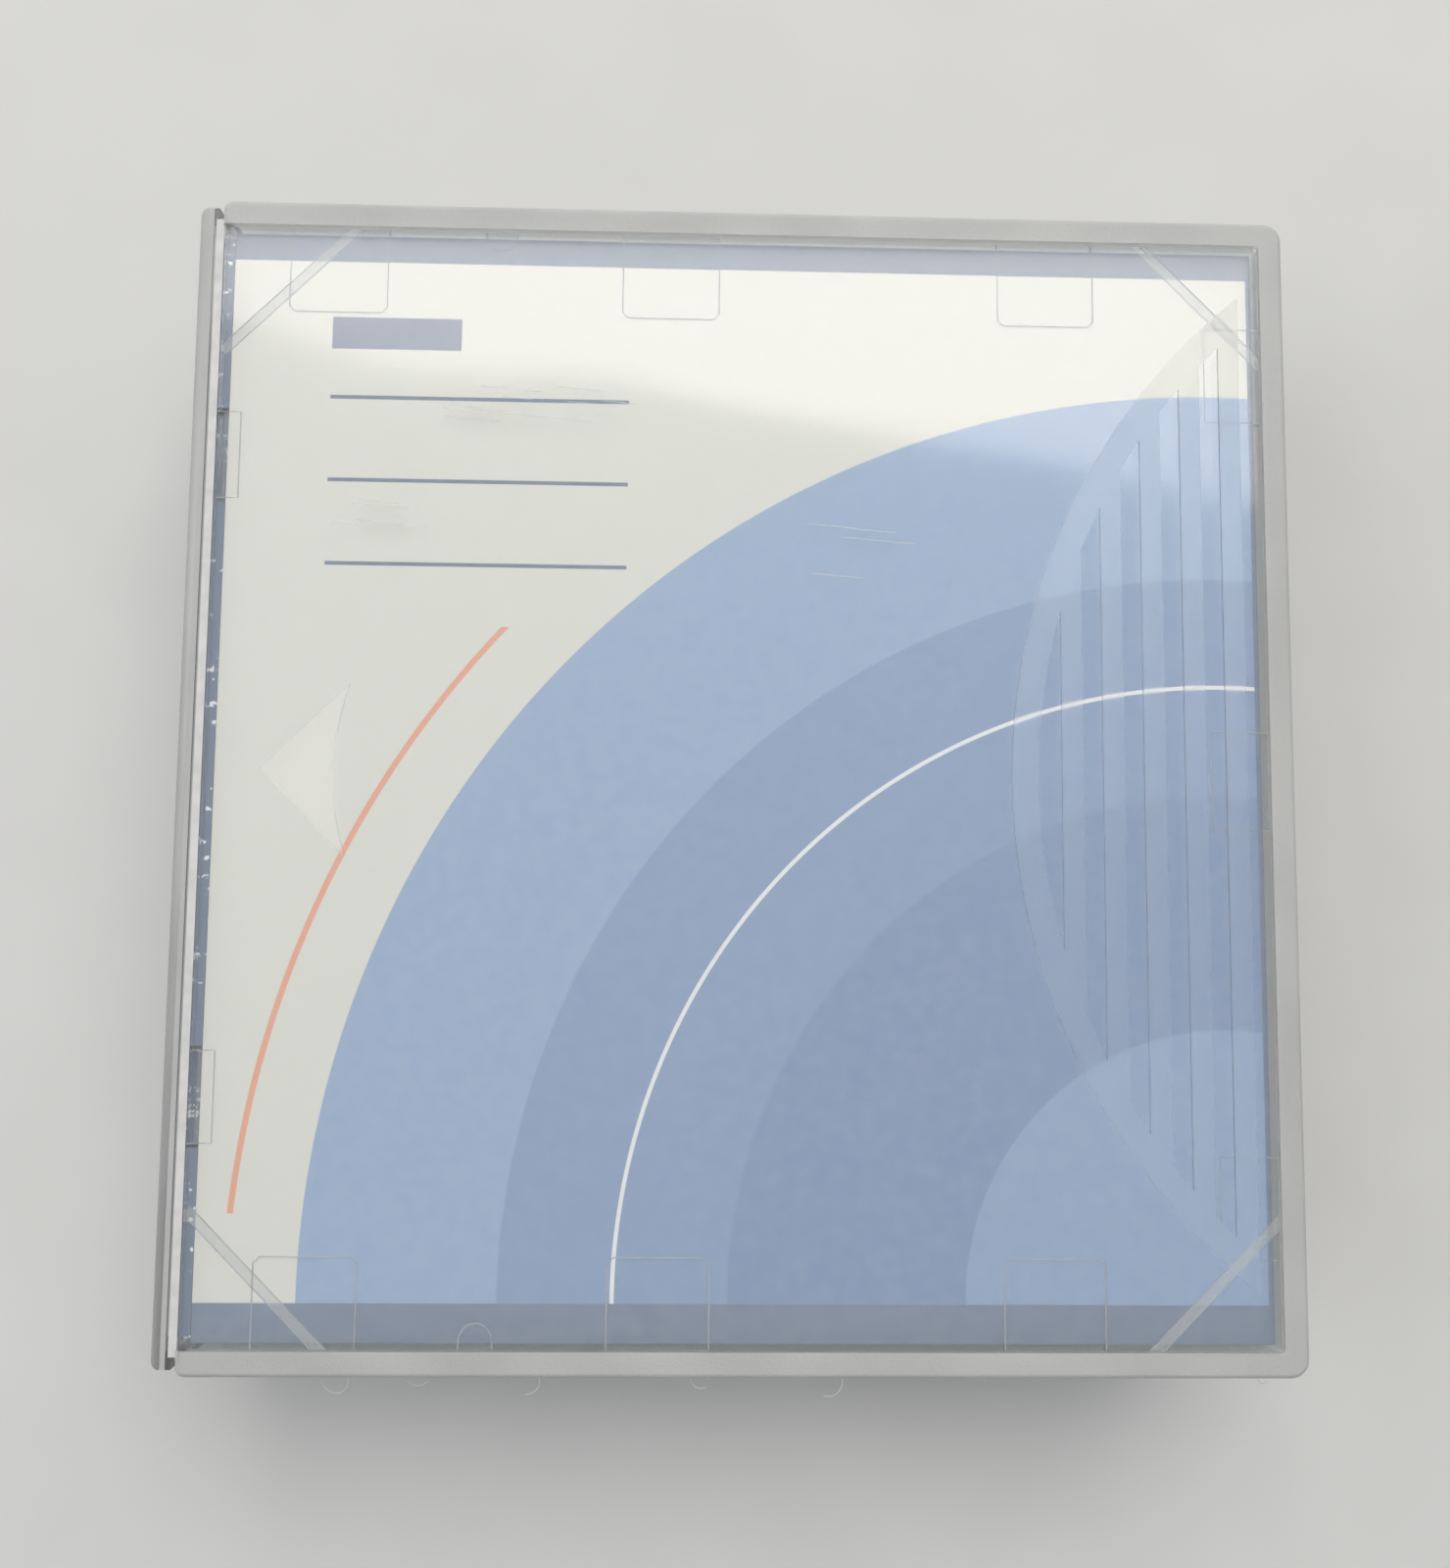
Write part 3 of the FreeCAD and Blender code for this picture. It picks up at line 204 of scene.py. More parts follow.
def grain_group():
    """Fine moulded grain: a height that changes at one scale, and a mask of sparkling peaks."""
    group = bpy.data.node_groups.new("moulded_grain", "ShaderNodeTree")
    for name, kind in (("Place", "NodeSocketVector"), ("Per metre", "NodeSocketFloat")):
        group.interface.new_socket(name, in_out="INPUT", socket_type=kind)
    for name in ("Height", "Peaks"):
        group.interface.new_socket(name, in_out="OUTPUT", socket_type="NodeSocketFloat")
    given = group.nodes.new("NodeGroupInput")
    cells = node(group, "ShaderNodeTexNoise", {"Vector": given.outputs["Place"],
                                               "Scale": given.outputs["Per metre"],
                                               "Detail": 1.0, "Roughness": 0.6})
    result = node(group, "NodeGroupOutput")
    group.links.new(cells.outputs["Fac"], result.inputs["Height"])
    group.links.new(ramp(group, cells.outputs["Fac"], 0.56, 0.66), result.inputs["Peaks"])
    return group


moulded_grain = grain_group()

case_plastic, tree, output, place = new_material("clear_polypropylene")
x, y, z = node(tree, "ShaderNodeSeparateXYZ", {"Vector": place}).outputs
raised = ramp(tree, z, panel_top + 0.0001, panel_top + 0.00018)
rim = ramp(tree, z, panel_top + 0.0003, panel_top + 0.0005)
outside = maths(tree, "MAXIMUM",
                ramp(tree, maths(tree, "ABSOLUTE", y), case_high.y - 0.0006, case_high.y - 0.0002),
                ramp(tree, x, case_high.x - 0.0006, case_high.x - 0.0002))
spine_edge = ramp(tree, x, case_low.x + 0.0009, case_low.x + 0.0003)
underside = ramp(tree, z, 0.0003, 0.0001)
matt = maths(tree, "MAXIMUM", maths(tree, "MAXIMUM", rim, spine_edge),
             maths(tree, "MAXIMUM", maths(tree, "MULTIPLY", raised, 0.75),
                   maths(tree, "MAXIMUM", maths(tree, "MULTIPLY", outside, 0.6), underside)))
folded = ramp(tree, maths(tree, "ABSOLUTE", maths(tree, "SUBTRACT", x, hinge_x)), 0.0004, 0.0002)
roughness = maths(tree, "MULTIPLY_ADD", matt, 0.5, 0.07)
milk = blend_colour(tree, maths(tree, "MAXIMUM", matt, folded),
                    (0.915, 0.93, 0.945, 1), (0.98, 0.985, 0.98, 1))
sunk_waves = node(tree, "ShaderNodeTexNoise", {"Vector": place, "Scale": 38.0, "Detail": 0.0})
waved = node(tree, "ShaderNodeBump", {"Height": sunk_waves.outputs["Fac"], "Strength": 0.25,
                                      "Distance": 0.0006})
body = node(tree, "ShaderNodeBsdfPrincipled",
            {"Base Color": milk, "Roughness": roughness, "IOR": 1.49,
             "Transmission Weight": 0.93, "Normal": waved.outputs[0]})
lit_through = node(tree, "ShaderNodeBsdfTransparent", {"Color": (0.94, 0.95, 0.955, 1)})
path = node(tree, "ShaderNodeLightPath")
mixed = node(tree, "ShaderNodeMixShader", {0: path.outputs["Is Shadow Ray"],
                                           1: body.outputs[0], 2: lit_through.outputs[0]})
finish_material(tree, output, mixed)


def dress(material, *names):
    """Give CAD nodes their finish, in the slot that each came with."""
    for name in names:
        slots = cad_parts[name].material_slots
        for slot in slots:
            slot.material = material
        if not slots:
            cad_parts[name].data.materials.append(material)


dress(case_plastic, "case_base", "case_spine", "case_lid")

# ------------------------------------------------------------------ textured faces
# The spark-eroded faces of the lid's stacking rim and of the spine's rounded edge.  The
# texture scatters light in the plastic's outer skin, so they look frosted.
frosted, tree, output, place = new_material("frosted_polypropylene")
grain = node(tree, "ShaderNodeGroup", {}, node_tree=moulded_grain)
tree.links.new(place, grain.inputs["Place"])
grain.inputs["Per metre"].default_value = 4200.0
cloudy = node(tree, "ShaderNodeTexNoise", {"Vector": place, "Scale": 120.0, "Detail": 0.0})
shade = blend_colour(tree, cloudy.outputs["Fac"], (0.68, 0.685, 0.685, 1), (0.80, 0.80, 0.79, 1))
sparkle = maths(tree, "MULTIPLY_ADD", grain.outputs["Peaks"], -0.2, 0.5)
eroded = node(tree, "ShaderNodeBump", {"Height": grain.outputs["Height"], "Strength": 0.6,
                                       "Distance": 0.00007})
body = node(tree, "ShaderNodeBsdfPrincipled",
            {"Base Color": shade, "Roughness": sparkle, "IOR": 1.3,
             "Transmission Weight": 0.45, "Normal": eroded.outputs[0]})
lit_through = node(tree, "ShaderNodeBsdfTransparent", {"Color": (0.8, 0.81, 0.81, 1)})
path = node(tree, "ShaderNodeLightPath")
finish_material(tree, output, node(tree, "ShaderNodeMixShader",
                                   {0: path.outputs["Is Shadow Ray"], 1: body.outputs[0],
                                    2: lit_through.outputs[0]}))


def textured_skin(name, source, body, textured, end_x):
    """The faces of a CAD node that pass the test, up to end_x, as a skin just off them."""
    skin = bmesh.new()
    skin.from_mesh(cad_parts[source].data)
    bmesh.ops.remove_doubles(skin, verts=skin.verts, dist=1e-6)
    spare = [face for face in skin.faces if not textured(face)]
    bmesh.ops.delete(skin, geom=spare, context="FACES")
    bmesh.ops.bisect_plane(skin, geom=skin.verts[:] + skin.edges[:] + skin.faces[:],
                           plane_co=(end_x, 0, 0), plane_no=(1, 0, 0), clear_outer=True)
    for vertex in skin.verts:
        vertex.co += vertex.normal * 0.00001
    mesh = bpy.data.meshes.new(name)
    skin.to_mesh(mesh)
    skin.free()
    mesh.materials.append(frosted)
    piece = bpy.data.objects.new(name, mesh)
    bpy.context.scene.collection.objects.link(piece)
    thin = piece.modifiers.new("skin", "SOLIDIFY")
    thin.thickness, thin.offset = 0.00002, 1.0
    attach(piece, body)


textured_skin("lid_texture", "case_lid", "lid",
              lambda face: min(v.co.z for v in face.verts) > panel_top + 0.00025, case_high.x)
textured_skin("spine_texture", "case_spine", "spine",
              lambda face: face.normal.x < 0.5 and (
                  max(v.co.x for v in face.verts) < case_low.x + 0.00112
                  or min(v.co.z for v in face.verts) > panel_top - 0.0001), case_low.x + 0.0016)

# ------------------------------------------------------------------ printed insert
# One sheet of coated card, folded once and slipped under the lid's tabs and behind the
# spine.  It is offset printed: a slate border, a bare field, and a tinted block with a
# pattern of plain rings, ruled lines to write on and one thin accent line.
front_low, front_high = (Vector(corner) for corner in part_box("insert_front"))
print_white, print_slate = (0.67, 0.655, 0.58, 1), (0.085, 0.125, 0.21, 1)
ring_tints = ((0.235, 0.345, 0.53, 1), (0.175, 0.27, 0.45, 1), (0.145, 0.23, 0.405, 1),
              (0.205, 0.31, 0.49, 1))
accent = (0.75, 0.30, 0.17, 1)
ring_centre = Vector((front_high.x - 0.004, front_low.y + 0.004))
ring_steps = (0.090, 0.071, 0.049, 0.026)
soft = 0.00006
near_border, far_border, right_border = 0.0037, 0.0027, 0.0005
title_left, title_top, title_tall, title_wide = 0.010, 0.0085, 0.0033, 0.013
rule_top, rule_pitch, rule_tall, rule_long, rule_count = 0.017, 0.0085, 0.0004, 0.030, 3
white_arc_at, accent_arc_at = (0.0598, 0.0602), (0.0965, 0.0971)

card, tree, output, place = new_material("printed_card")
x, y, z = node(tree, "ShaderNodeSeparateXYZ", {"Vector": place}).outputs


def inside(tree, amount, low, high):
    """1 where the amount lies between the two, with an edge as sharp as print."""
    return maths(tree, "MULTIPLY", ramp(tree, amount, low - soft, low + soft),
                 ramp(tree, amount, high + soft, high - soft))


field = maths(tree, "MULTIPLY",
              inside(tree, x, front_low.x - 0.0003, front_high.x - right_border),
              inside(tree, y, front_low.y + near_border, front_high.y - far_border))
from_centre = node(tree, "ShaderNodeVectorMath", {0: place, 1: (ring_centre.x, ring_centre.y, 0)},
                   operation="SUBTRACT")
flat = node(tree, "ShaderNodeVectorMath", {0: from_centre.outputs[0], 1: (1, 1, 0)},
            operation="MULTIPLY")
reach = node(tree, "ShaderNodeVectorMath", {0: flat.outputs[0]}, operation="LENGTH")
radius = reach.outputs["Value"]
colour = print_white
for step, tint in zip(ring_steps, ring_tints):
    colour = blend_colour(tree, ramp(tree, radius, step + soft, step - soft), colour, tint)
white_arc = inside(tree, radius, *white_arc_at)
colour = blend_colour(tree, white_arc, colour, (0.80, 0.80, 0.78, 1))
accent_arc = maths(tree, "MULTIPLY", inside(tree, radius, *accent_arc_at),
                   inside(tree, y, front_low.y + 0.012, front_high.y - 0.040))
colour = blend_colour(tree, accent_arc, colour, accent)
for number in range(rule_count):
    level = front_high.y - rule_top - number * rule_pitch
    rule = maths(tree, "MULTIPLY", inside(tree, y, level, level + rule_tall),
                 inside(tree, x, front_low.x + title_left, front_low.x + title_left + rule_long))
    colour = blend_colour(tree, rule, colour, print_slate)
block = maths(tree, "MULTIPLY",
              inside(tree, y, front_high.y - title_top - title_tall, front_high.y - title_top),
              inside(tree, x, front_low.x + title_left, front_low.x + title_left + title_wide))
colour = blend_colour(tree, block, colour, print_slate)
colour = blend_colour(tree, field, (0.11, 0.155, 0.24, 1), colour)
bare_back = ramp(tree, z, front_low.z + 0.0001, front_low.z + 0.00005)
colour = blend_colour(tree, bare_back, colour, print_white)
fibre = node(tree, "ShaderNodeTexNoise", {"Vector": place, "Scale": 900.0, "Detail": 0.0})
toned = blend_colour(tree, maths(tree, "MULTIPLY", fibre.outputs["Fac"], 0.10), colour,
                     (0.62, 0.62, 0.60, 1))
paper_bump = node(tree, "ShaderNodeBump", {"Height": fibre.outputs["Fac"], "Strength": 0.08,
                                           "Distance": 0.00003})
paper = node(tree, "ShaderNodeBsdfPrincipled",
             {"Base Color": toned, "Roughness": 0.42, "Normal": paper_bump.outputs[0]})
finish_material(tree, output, paper)
dress(card, "insert_front")

spine_card, tree, output, place = new_material("printed_spine_card")
x, y, z = node(tree, "ShaderNodeSeparateXYZ", {"Vector": place}).outputs
spine_low, spine_high = (Vector(corner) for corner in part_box("insert_spine"))
printed_face = ramp(tree, x, spine_low.x + 0.0001, spine_low.x + 0.00005)
edging = ramp(tree, z, spine_high.z - 0.0021, spine_high.z - 0.0019)
colour = blend_colour(tree, maths(tree, "MULTIPLY", printed_face, edging), print_white,
                      (0.11, 0.155, 0.24, 1))
fibre = node(tree, "ShaderNodeTexNoise", {"Vector": place, "Scale": 900.0, "Detail": 0.0})
paper_bump = node(tree, "ShaderNodeBump", {"Height": fibre.outputs["Fac"], "Strength": 0.08,
                                           "Distance": 0.00003})
finish_material(tree, output, node(tree, "ShaderNodeBsdfPrincipled",
                                   {"Base Color": colour, "Roughness": 0.42,
                                    "Normal": paper_bump.outputs[0]}))
dress(spine_card, "insert_spine")

# ------------------------------------------------------------------ fold of the insert
# Between the spine and the lid the same sheet is creased over the hinge, where its print
# has cracked.  Two slits at each card hook let the sheet pass below the hook.
creased_card, tree, output, place = new_material("creased_card")
ragged = node(tree, "ShaderNodeTexNoise", {"Vector": place, "Scale": 1100.0, "Detail": 3.0})
cracks = ramp(tree, ragged.outputs["Fac"], 0.62, 0.68)
shade = blend_colour(tree, cracks, (0.11, 0.155, 0.24, 1), (0.86, 0.86, 0.84, 1))
torn = node(tree, "ShaderNodeBump", {"Height": ragged.outputs["Fac"], "Strength": 0.4,
                                     "Distance": 0.00005})
finish_material(tree, output, node(tree, "ShaderNodeBsdfPrincipled",
                                   {"Base Color": shade, "Roughness": 0.6,
                                    "Normal": torn.outputs[0]}))


def bent_strip(name, stretches, section, thick, material):
    """A strip along the hinge that bends from the spine to the lid between two places in X."""
    strip = bmesh.new()
    for low, high in stretches:
        count = max(2, round((high - low) / 0.0015))
        rows = [[strip.verts.new((across, low + (high - low) * number / count, level))
                 for across, level in section] for number in range(count + 1)]
        for near, far in zip(rows, rows[1:]):
            for index in range(len(section) - 1):
                strip.faces.new((near[index], near[index + 1], far[index + 1], far[index]))
    mesh = bpy.data.meshes.new(name)
    strip.to_mesh(mesh)
    strip.free()
    mesh.materials.append(material)
    piece = bpy.data.objects.new(name, mesh)
    bpy.context.scene.collection.objects.link(piece)
    thickness = piece.modifiers.new("thickness", "SOLIDIFY")
    thickness.thickness, thickness.offset = thick, 0.0
    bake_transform(piece)


hook_middle, hook_half, crease_level = 0.0316, 0.0048, 0.02478
crease_left, crease_right = spine_high.x + 0.0001, front_low.x - 0.00005
bent_strip("insert_fold", ((front_low.y + 0.0005, -hook_middle - hook_half),
                           (-hook_middle + hook_half, hook_middle - hook_half),
                           (hook_middle + hook_half, front_high.y - 0.0005)),
           [(crease_left + share * (crease_right - crease_left), crease_level + rise)
            for share, rise in ((0.0, -0.00055), (0.06, -0.00018), (0.16, 0.0),
                                (0.45, 0.00004), (0.75, 0.00002), (1.0, 0.0))],
           0.0002, creased_card)
slit, tuck_level = 0.00015, 0.02397
bent_strip("insert_tucks", [(side * hook_middle - hook_half + slit,
                             side * hook_middle + hook_half - slit) for side in (-1, 1)],
           [(crease_left + 0.0004 * number, tuck_level) for number in range(6)],
           0.00016, creased_card)

# ------------------------------------------------------------------ film hinge
# The upper film hinge joins spine and lid in one moulding.  Folding has stress-whitened the
# film, which shows as a white line between the spine's matt edge and the sheet.
whitened, tree, output, place = new_material("stress_whitened_film")
cloudy = node(tree, "ShaderNodeTexNoise", {"Vector": place, "Scale": 700.0, "Detail": 1.0})
shade = blend_colour(tree, cloudy.outputs["Fac"], (0.64, 0.645, 0.65, 1), (0.90, 0.90, 0.89, 1))
finish_material(tree, output, node(tree, "ShaderNodeBsdfPrincipled",
                                   {"Base Color": shade, "Roughness": 0.45}))
film_end = case_high.y - 0.00165
bent_strip("film_hinge", ((-film_end, film_end),),
           [(hinge_x - 0.00055 + 0.0001 * number, panel_top + 0.000022) for number in range(9)],
           0.00002, whitened)

# ------------------------------------------------------------------ witness lines
# Steps that the mould's cores leave on the underside of the lid's panel, at the card tabs,
# lugs, hooks and corners.  Their edges show as fine grey lines of painted shade, and the
# corners' as soft pale bands of painted highlight, both laid on as tinted milky ribbons.


def ribbons(name, paths, wide, level, colour, alpha):
    """Flat ribbons of milky plastic along lines on the lid's panel."""
    milky, tree, output, place = new_material(name)
    finish_material(tree, output, node(tree, "ShaderNodeBsdfPrincipled",
                                       {"Base Color": colour, "Roughness": 0.4, "Alpha": alpha}))
    flat = bmesh.new()
    for path in paths:
        points = [Vector(point) for point in path]
        edges = []
        for index, point in enumerate(points):
            way = points[min(index + 1, len(points) - 1)] - points[max(index - 1, 0)]
            side = Vector((-way.y, way.x)).normalized() * wide / 2
            edges.append([flat.verts.new((*(point + step), level)) for step in (side, -side)])
        for (left, right), (next_left, next_right) in zip(edges, edges[1:]):
            flat.faces.new((left, right, next_right, next_left))
    mesh = bpy.data.meshes.new(name)
    flat.to_mesh(mesh)
    flat.free()
    mesh.materials.append(milky)
    piece = bpy.data.objects.new(name, mesh)
    bpy.context.scene.collection.objects.link(piece)
    thin = piece.modifiers.new("thickness", "SOLIDIFY")
    thin.thickness, thin.offset = 0.00001, 0.0
    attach(piece, "lid")


case_wall, corner, band_away = 0.0013, 0.013, 0.0007
inner_side, inner_end, leaf = case_high.y - case_wall, case_high.x - case_wall, hinge_x + film_half
tab_half, tab_round, tab_inner, right_inner = 0.0049, 0.0006, case_high.y - 0.0107, case_high.x - 0.0077
lug_x, lug_half, lug_straight, lug_bow = -0.0246, 0.0016, 0.0016, 0.0017
hook_near, hook_far, hook_reach = 0.0272, 0.0360, 0.0021
lines, bands = [], []
for side in (-1, 1):
    for middle in (-0.0409, -0.0073, 0.0310):
        lines.append([(middle - tab_half, side * inner_side),
                      (middle - tab_half, side * (tab_inner + tab_round)),
                      (middle - tab_half + tab_round, side * tab_inner),
                      (middle + tab_half - tab_round, side * tab_inner),
                      (middle + tab_half, side * (tab_inner + tab_round)),
                      (middle + tab_half, side * inner_side)])
    bow = [(lug_x - lug_half * math.cos(turn),
            side * (inner_side - lug_straight - lug_bow * math.sin(turn)))
           for turn in (math.pi * number / 8 for number in range(9))]
    lines.append([(lug_x - lug_half, side * inner_side)] + bow
                 + [(lug_x + lug_half, side * inner_side)])
    lines.append([(leaf, side * hook_near), (leaf + hook_reach, side * hook_near),
                  (leaf + hook_reach, side * hook_far), (leaf, side * hook_far)])
    for end, inward in ((leaf, 1), (inner_end, -1)):
        for away, kept in ((0.0, lines), (2 * band_away, lines), (band_away, bands)):
            kept.append([(end, side * (inner_side - corner - away)),
                         (end + inward * (corner + away), side * inner_side)])
for middle in (-0.0417, 0.0, 0.0417):
    lines.append([(inner_end, middle - tab_half), (right_inner, middle - tab_half),
                  (right_inner, middle + tab_half), (inner_end, middle + tab_half)])
under_panel = front_high.z + 0.00005
# The greyer tint of these ribbons is painted shade along the step edges; the corner bands' paler tint
# is a painted highlight.
ribbons("witness_lines_painted_shade", lines, 0.00014, under_panel, (0.56, 0.58, 0.61, 1), 0.36)
ribbons("corner_bands_painted_highlight", bands, 0.0009, under_panel - 0.00002, (0.84, 0.84, 0.82, 1), 0.16)

# ------------------------------------------------------------------ scuffs
# Fine light scuffs on the polished panel, where cases have slid over one another.
scuff_seed = random.Random(7)
scuffs = []
for left, right, low, high, count in ((-0.031, -0.006, 0.0355, 0.039, 11),
                                      (-0.041, -0.033, 0.024, 0.027, 6),
                                      (0.006, 0.016, 0.020, 0.027, 4)):
    for number in range(count):
        start = scuff_seed.uniform(left, right - 0.004)
        long = scuff_seed.uniform(0.002, 0.009)
        level = scuff_seed.uniform(low, high)
        scuffs.append([(start + long * share, level - 0.08 * long * share) for share in (0, 0.5, 1)])
ribbons("lid_scuffs", scuffs, 0.00009, panel_top + 0.00002, (1.0, 1.0, 1.0, 1), 0.3)

# ------------------------------------------------------------------ moulding hairs
# Fine curled hairs of polypropylene, scraped off by rubbing, that cling by static along
# the lid's near side wall.
hair_count, hair_long, hair_thick = 9, 0.0042, 0.00007


def hair_tree():
    """Scatters curled hairs along a line and joins them into one mesh."""
    group = bpy.data.node_groups.new("moulding_hairs", "GeometryNodeTree")
    group.interface.new_socket("Geometry", in_out="OUTPUT", socket_type="NodeSocketGeometry")
    for name, kind in (("Count", "NodeSocketInt"), ("Length", "NodeSocketFloat"),
                       ("Thickness", "NodeSocketFloat"), ("Seed", "NodeSocketInt"),
                       ("Start", "NodeSocketVector"), ("End", "NodeSocketVector"),
                       ("Plastic", "NodeSocketMaterial")):
        group.interface.new_socket(name, in_out="INPUT", socket_type=kind)
    given = group.nodes.new("NodeGroupInput")

    def step(kind, inputs=None, **settings):
        return node(group, kind, inputs, **settings)

    def scatter(low, high, salt, kind="FLOAT"):
        spread = step("FunctionNodeRandomValue", data_type=kind)
        spread.inputs["Seed"].default_value = salt
        ends = [socket for socket in spread.inputs if socket.name in ("Min", "Max")
                and socket.enabled]
        ends[0].default_value, ends[1].default_value = low, high
        seed = step("ShaderNodeMath", {0: given.outputs["Seed"], 1: float(salt)},
                    operation="ADD")
        group.links.new(seed.outputs[0], spread.inputs["Seed"])
        return next(socket for socket in spread.outputs if socket.enabled)

    line = step("GeometryNodeMeshLine", {"Count": given.outputs["Count"],
                                         "Start Location": given.outputs["Start"]},
                mode="END_POINTS")
    group.links.new(given.outputs["End"], line.inputs["Offset"])
    jitter = step("GeometryNodeSetPosition", {"Geometry": line.outputs[0]})
    group.links.new(scatter((-0.006, 0, -0.001), (0.006, 0, 0.001), 1, "FLOAT_VECTOR"),
                    jitter.inputs["Offset"])
    curl = step("GeometryNodeCurveSpiral", {"Resolution": 14, "Rotations": 0.62,
                                            "Start Radius": 0.25, "End Radius": 0.42,
                                            "Height": 0.12})
    tube = step("GeometryNodeCurvePrimitiveCircle", {"Resolution": 5})
    thin = step("ShaderNodeMath", {0: given.outputs["Thickness"], 1: given.outputs["Length"]},
                operation="DIVIDE")
    group.links.new(thin.outputs[0], tube.inputs["Radius"])
    hair = step("GeometryNodeCurveToMesh", {"Curve": curl.outputs[0],
                                            "Profile Curve": tube.outputs[0],
                                            "Fill Caps": True})
    scattered = step("GeometryNodeInstanceOnPoints", {"Points": jitter.outputs[0],
                                                      "Instance": hair.outputs[0]})
    group.links.new(scatter((-0.3, -0.3, 0.0), (0.3, 0.3, math.tau), 2, "FLOAT_VECTOR"),
                    scattered.inputs["Rotation"])
    grown = step("ShaderNodeMath", {0: given.outputs["Length"],
                                    1: scatter(0.45, 1.0, 3)}, operation="MULTIPLY")
    group.links.new(grown.outputs[0], scattered.inputs["Scale"])
    real = step("GeometryNodeRealizeInstances", {"Geometry": scattered.outputs[0]})
    painted = step("GeometryNodeSetMaterial", {"Geometry": real.outputs[0],
                                               "Material": given.outputs["Plastic"]})
    result = step("NodeGroupOutput")
    group.links.new(painted.outputs[0], result.inputs[0])
    return group


hairs_holder = bpy.data.objects.new("hairs_holder", bpy.data.meshes.new("hairs_holder"))
bpy.context.scene.collection.objects.link(hairs_holder)
grower = hairs_holder.modifiers.new("hairs", "NODES")
grower.node_group = hair_tree()
given = {"Count": hair_count, "Length": hair_long, "Thickness": hair_thick, "Seed": 11,
         "Start": (case_low.x + 0.012, case_low.y - 0.0004, panel_top - 0.001),
         "End": (case_high.x - 0.006, case_low.y - 0.0004, panel_top - 0.001),
         "Plastic": frosted}
for socket in grower.node_group.interface.items_tree:
    if socket.in_out == "INPUT":
        grower[socket.identifier] = given[socket.name]
grown = hairs_holder.evaluated_get(bpy.context.evaluated_depsgraph_get())
hairs_mesh = bpy.data.meshes.new_from_object(grown)
hairs_mesh.name = "moulding_hairs"
bpy.data.objects.remove(hairs_holder)
moulding_hairs = bpy.data.objects.new("moulding_hairs", hairs_mesh)
bpy.context.scene.collection.objects.link(moulding_hairs)
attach(moulding_hairs, "lid")

# ------------------------------------------------------------------ cartridge shells
# Two screwed halves and a sliding door, moulded in dark slate polycarbonate with a fine
# spark-eroded grain that turns glossier where hands and drive slots rub the edges.
shell_plastic, tree, output, place = new_material("slate_polycarbonate")
grain = node(tree, "ShaderNodeGroup", {}, node_tree=moulded_grain)
tree.links.new(place, grain.inputs["Place"])
grain.inputs["Per metre"].default_value = 3600.0
cloud = node(tree, "ShaderNodeTexNoise", {"Vector": place, "Scale": 45.0, "Detail": 3.0})
tone = blend_colour(tree, cloud.outputs["Fac"], (0.030, 0.036, 0.052, 1), (0.040, 0.047, 0.066, 1))
rough = maths(tree, "MULTIPLY_ADD", grain.outputs["Peaks"], -0.12, 0.56)
grained = node(tree, "ShaderNodeBump", {"Height": grain.outputs["Height"], "Strength": 0.45,
                                        "Distance": 0.00005})
finish_material(tree, output, node(tree, "ShaderNodeBsdfPrincipled",
                                   {"Base Color": tone, "Roughness": rough,
                                    "Normal": grained.outputs[0]}))
dress(shell_plastic, "cartridge_lower_shell", "cartridge_upper_shell", "access_door")

# ------------------------------------------------------------------ reel and brake
# The reel, its brake button, the release pad and the tape's clip are white acetal, smooth
# from the mould with a faint flow mottle; the upper flange is see-through polycarbonate.
white_plastic, tree, output, place = new_material("white_acetal")
flow = node(tree, "ShaderNodeTexNoise", {"Vector": place, "Scale": 90.0, "Detail": 4.0})
tone = blend_colour(tree, flow.outputs["Fac"], (0.70, 0.70, 0.67, 1), (0.77, 0.77, 0.745, 1))
rough = maths(tree, "MULTIPLY_ADD", flow.outputs["Fac"], 0.12, 0.30)
finish_material(tree, output, node(tree, "ShaderNodeBsdfPrincipled",
                                   {"Base Color": tone, "Roughness": rough, "IOR": 1.48}))
dress(white_plastic, "reel_hub", "brake_button", "brake_release_pad", "tape_clip")

flange_plastic, tree, output, place = new_material("see_through_flange")
smear = node(tree, "ShaderNodeTexNoise", {"Vector": place, "Scale": 70.0, "Detail": 2.0})
rough = maths(tree, "MULTIPLY_ADD", smear.outputs["Fac"], 0.10, 0.08)
body = node(tree, "ShaderNodeBsdfPrincipled",
            {"Base Color": (0.86, 0.88, 0.89, 1), "Roughness": rough, "IOR": 1.58,
             "Transmission Weight": 0.9})
lit_through = node(tree, "ShaderNodeBsdfTransparent", {"Color": (0.9, 0.91, 0.92, 1)})
path = node(tree, "ShaderNodeLightPath")
finish_material(tree, output, node(tree, "ShaderNodeMixShader",
                                   {0: path.outputs["Is Shadow Ray"], 1: body.outputs[0],
                                    2: lit_through.outputs[0]}))
dress(flange_plastic, "reel_upper_flange")

# ------------------------------------------------------------------ tape
# Dark metal-particle tape, wound edge to edge.  The edges of its turns make very fine
# rings on the pack's ends, and the flat side of the free tape is glossy.
tape_coat, tree, output, place = new_material("metal_particle_tape")
pack_low, pack_high = (Vector(corner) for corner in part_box("tape_pack"))
middle = (pack_low + pack_high) / 2
from_reel = node(tree, "ShaderNodeVectorMath", {0: place, 1: (middle.x, middle.y, 0)},
                 operation="SUBTRACT")
level = node(tree, "ShaderNodeVectorMath", {0: from_reel.outputs[0], 1: (1, 1, 0)},
             operation="MULTIPLY")
turn = node(tree, "ShaderNodeVectorMath", {0: level.outputs[0]}, operation="LENGTH")
rings = node(tree, "ShaderNodeTexNoise", {"W": maths(tree, "MULTIPLY", turn.outputs["Value"],
                                                     2600.0), "Scale": 1.0, "Detail": 2.0},
             noise_dimensions="1D")
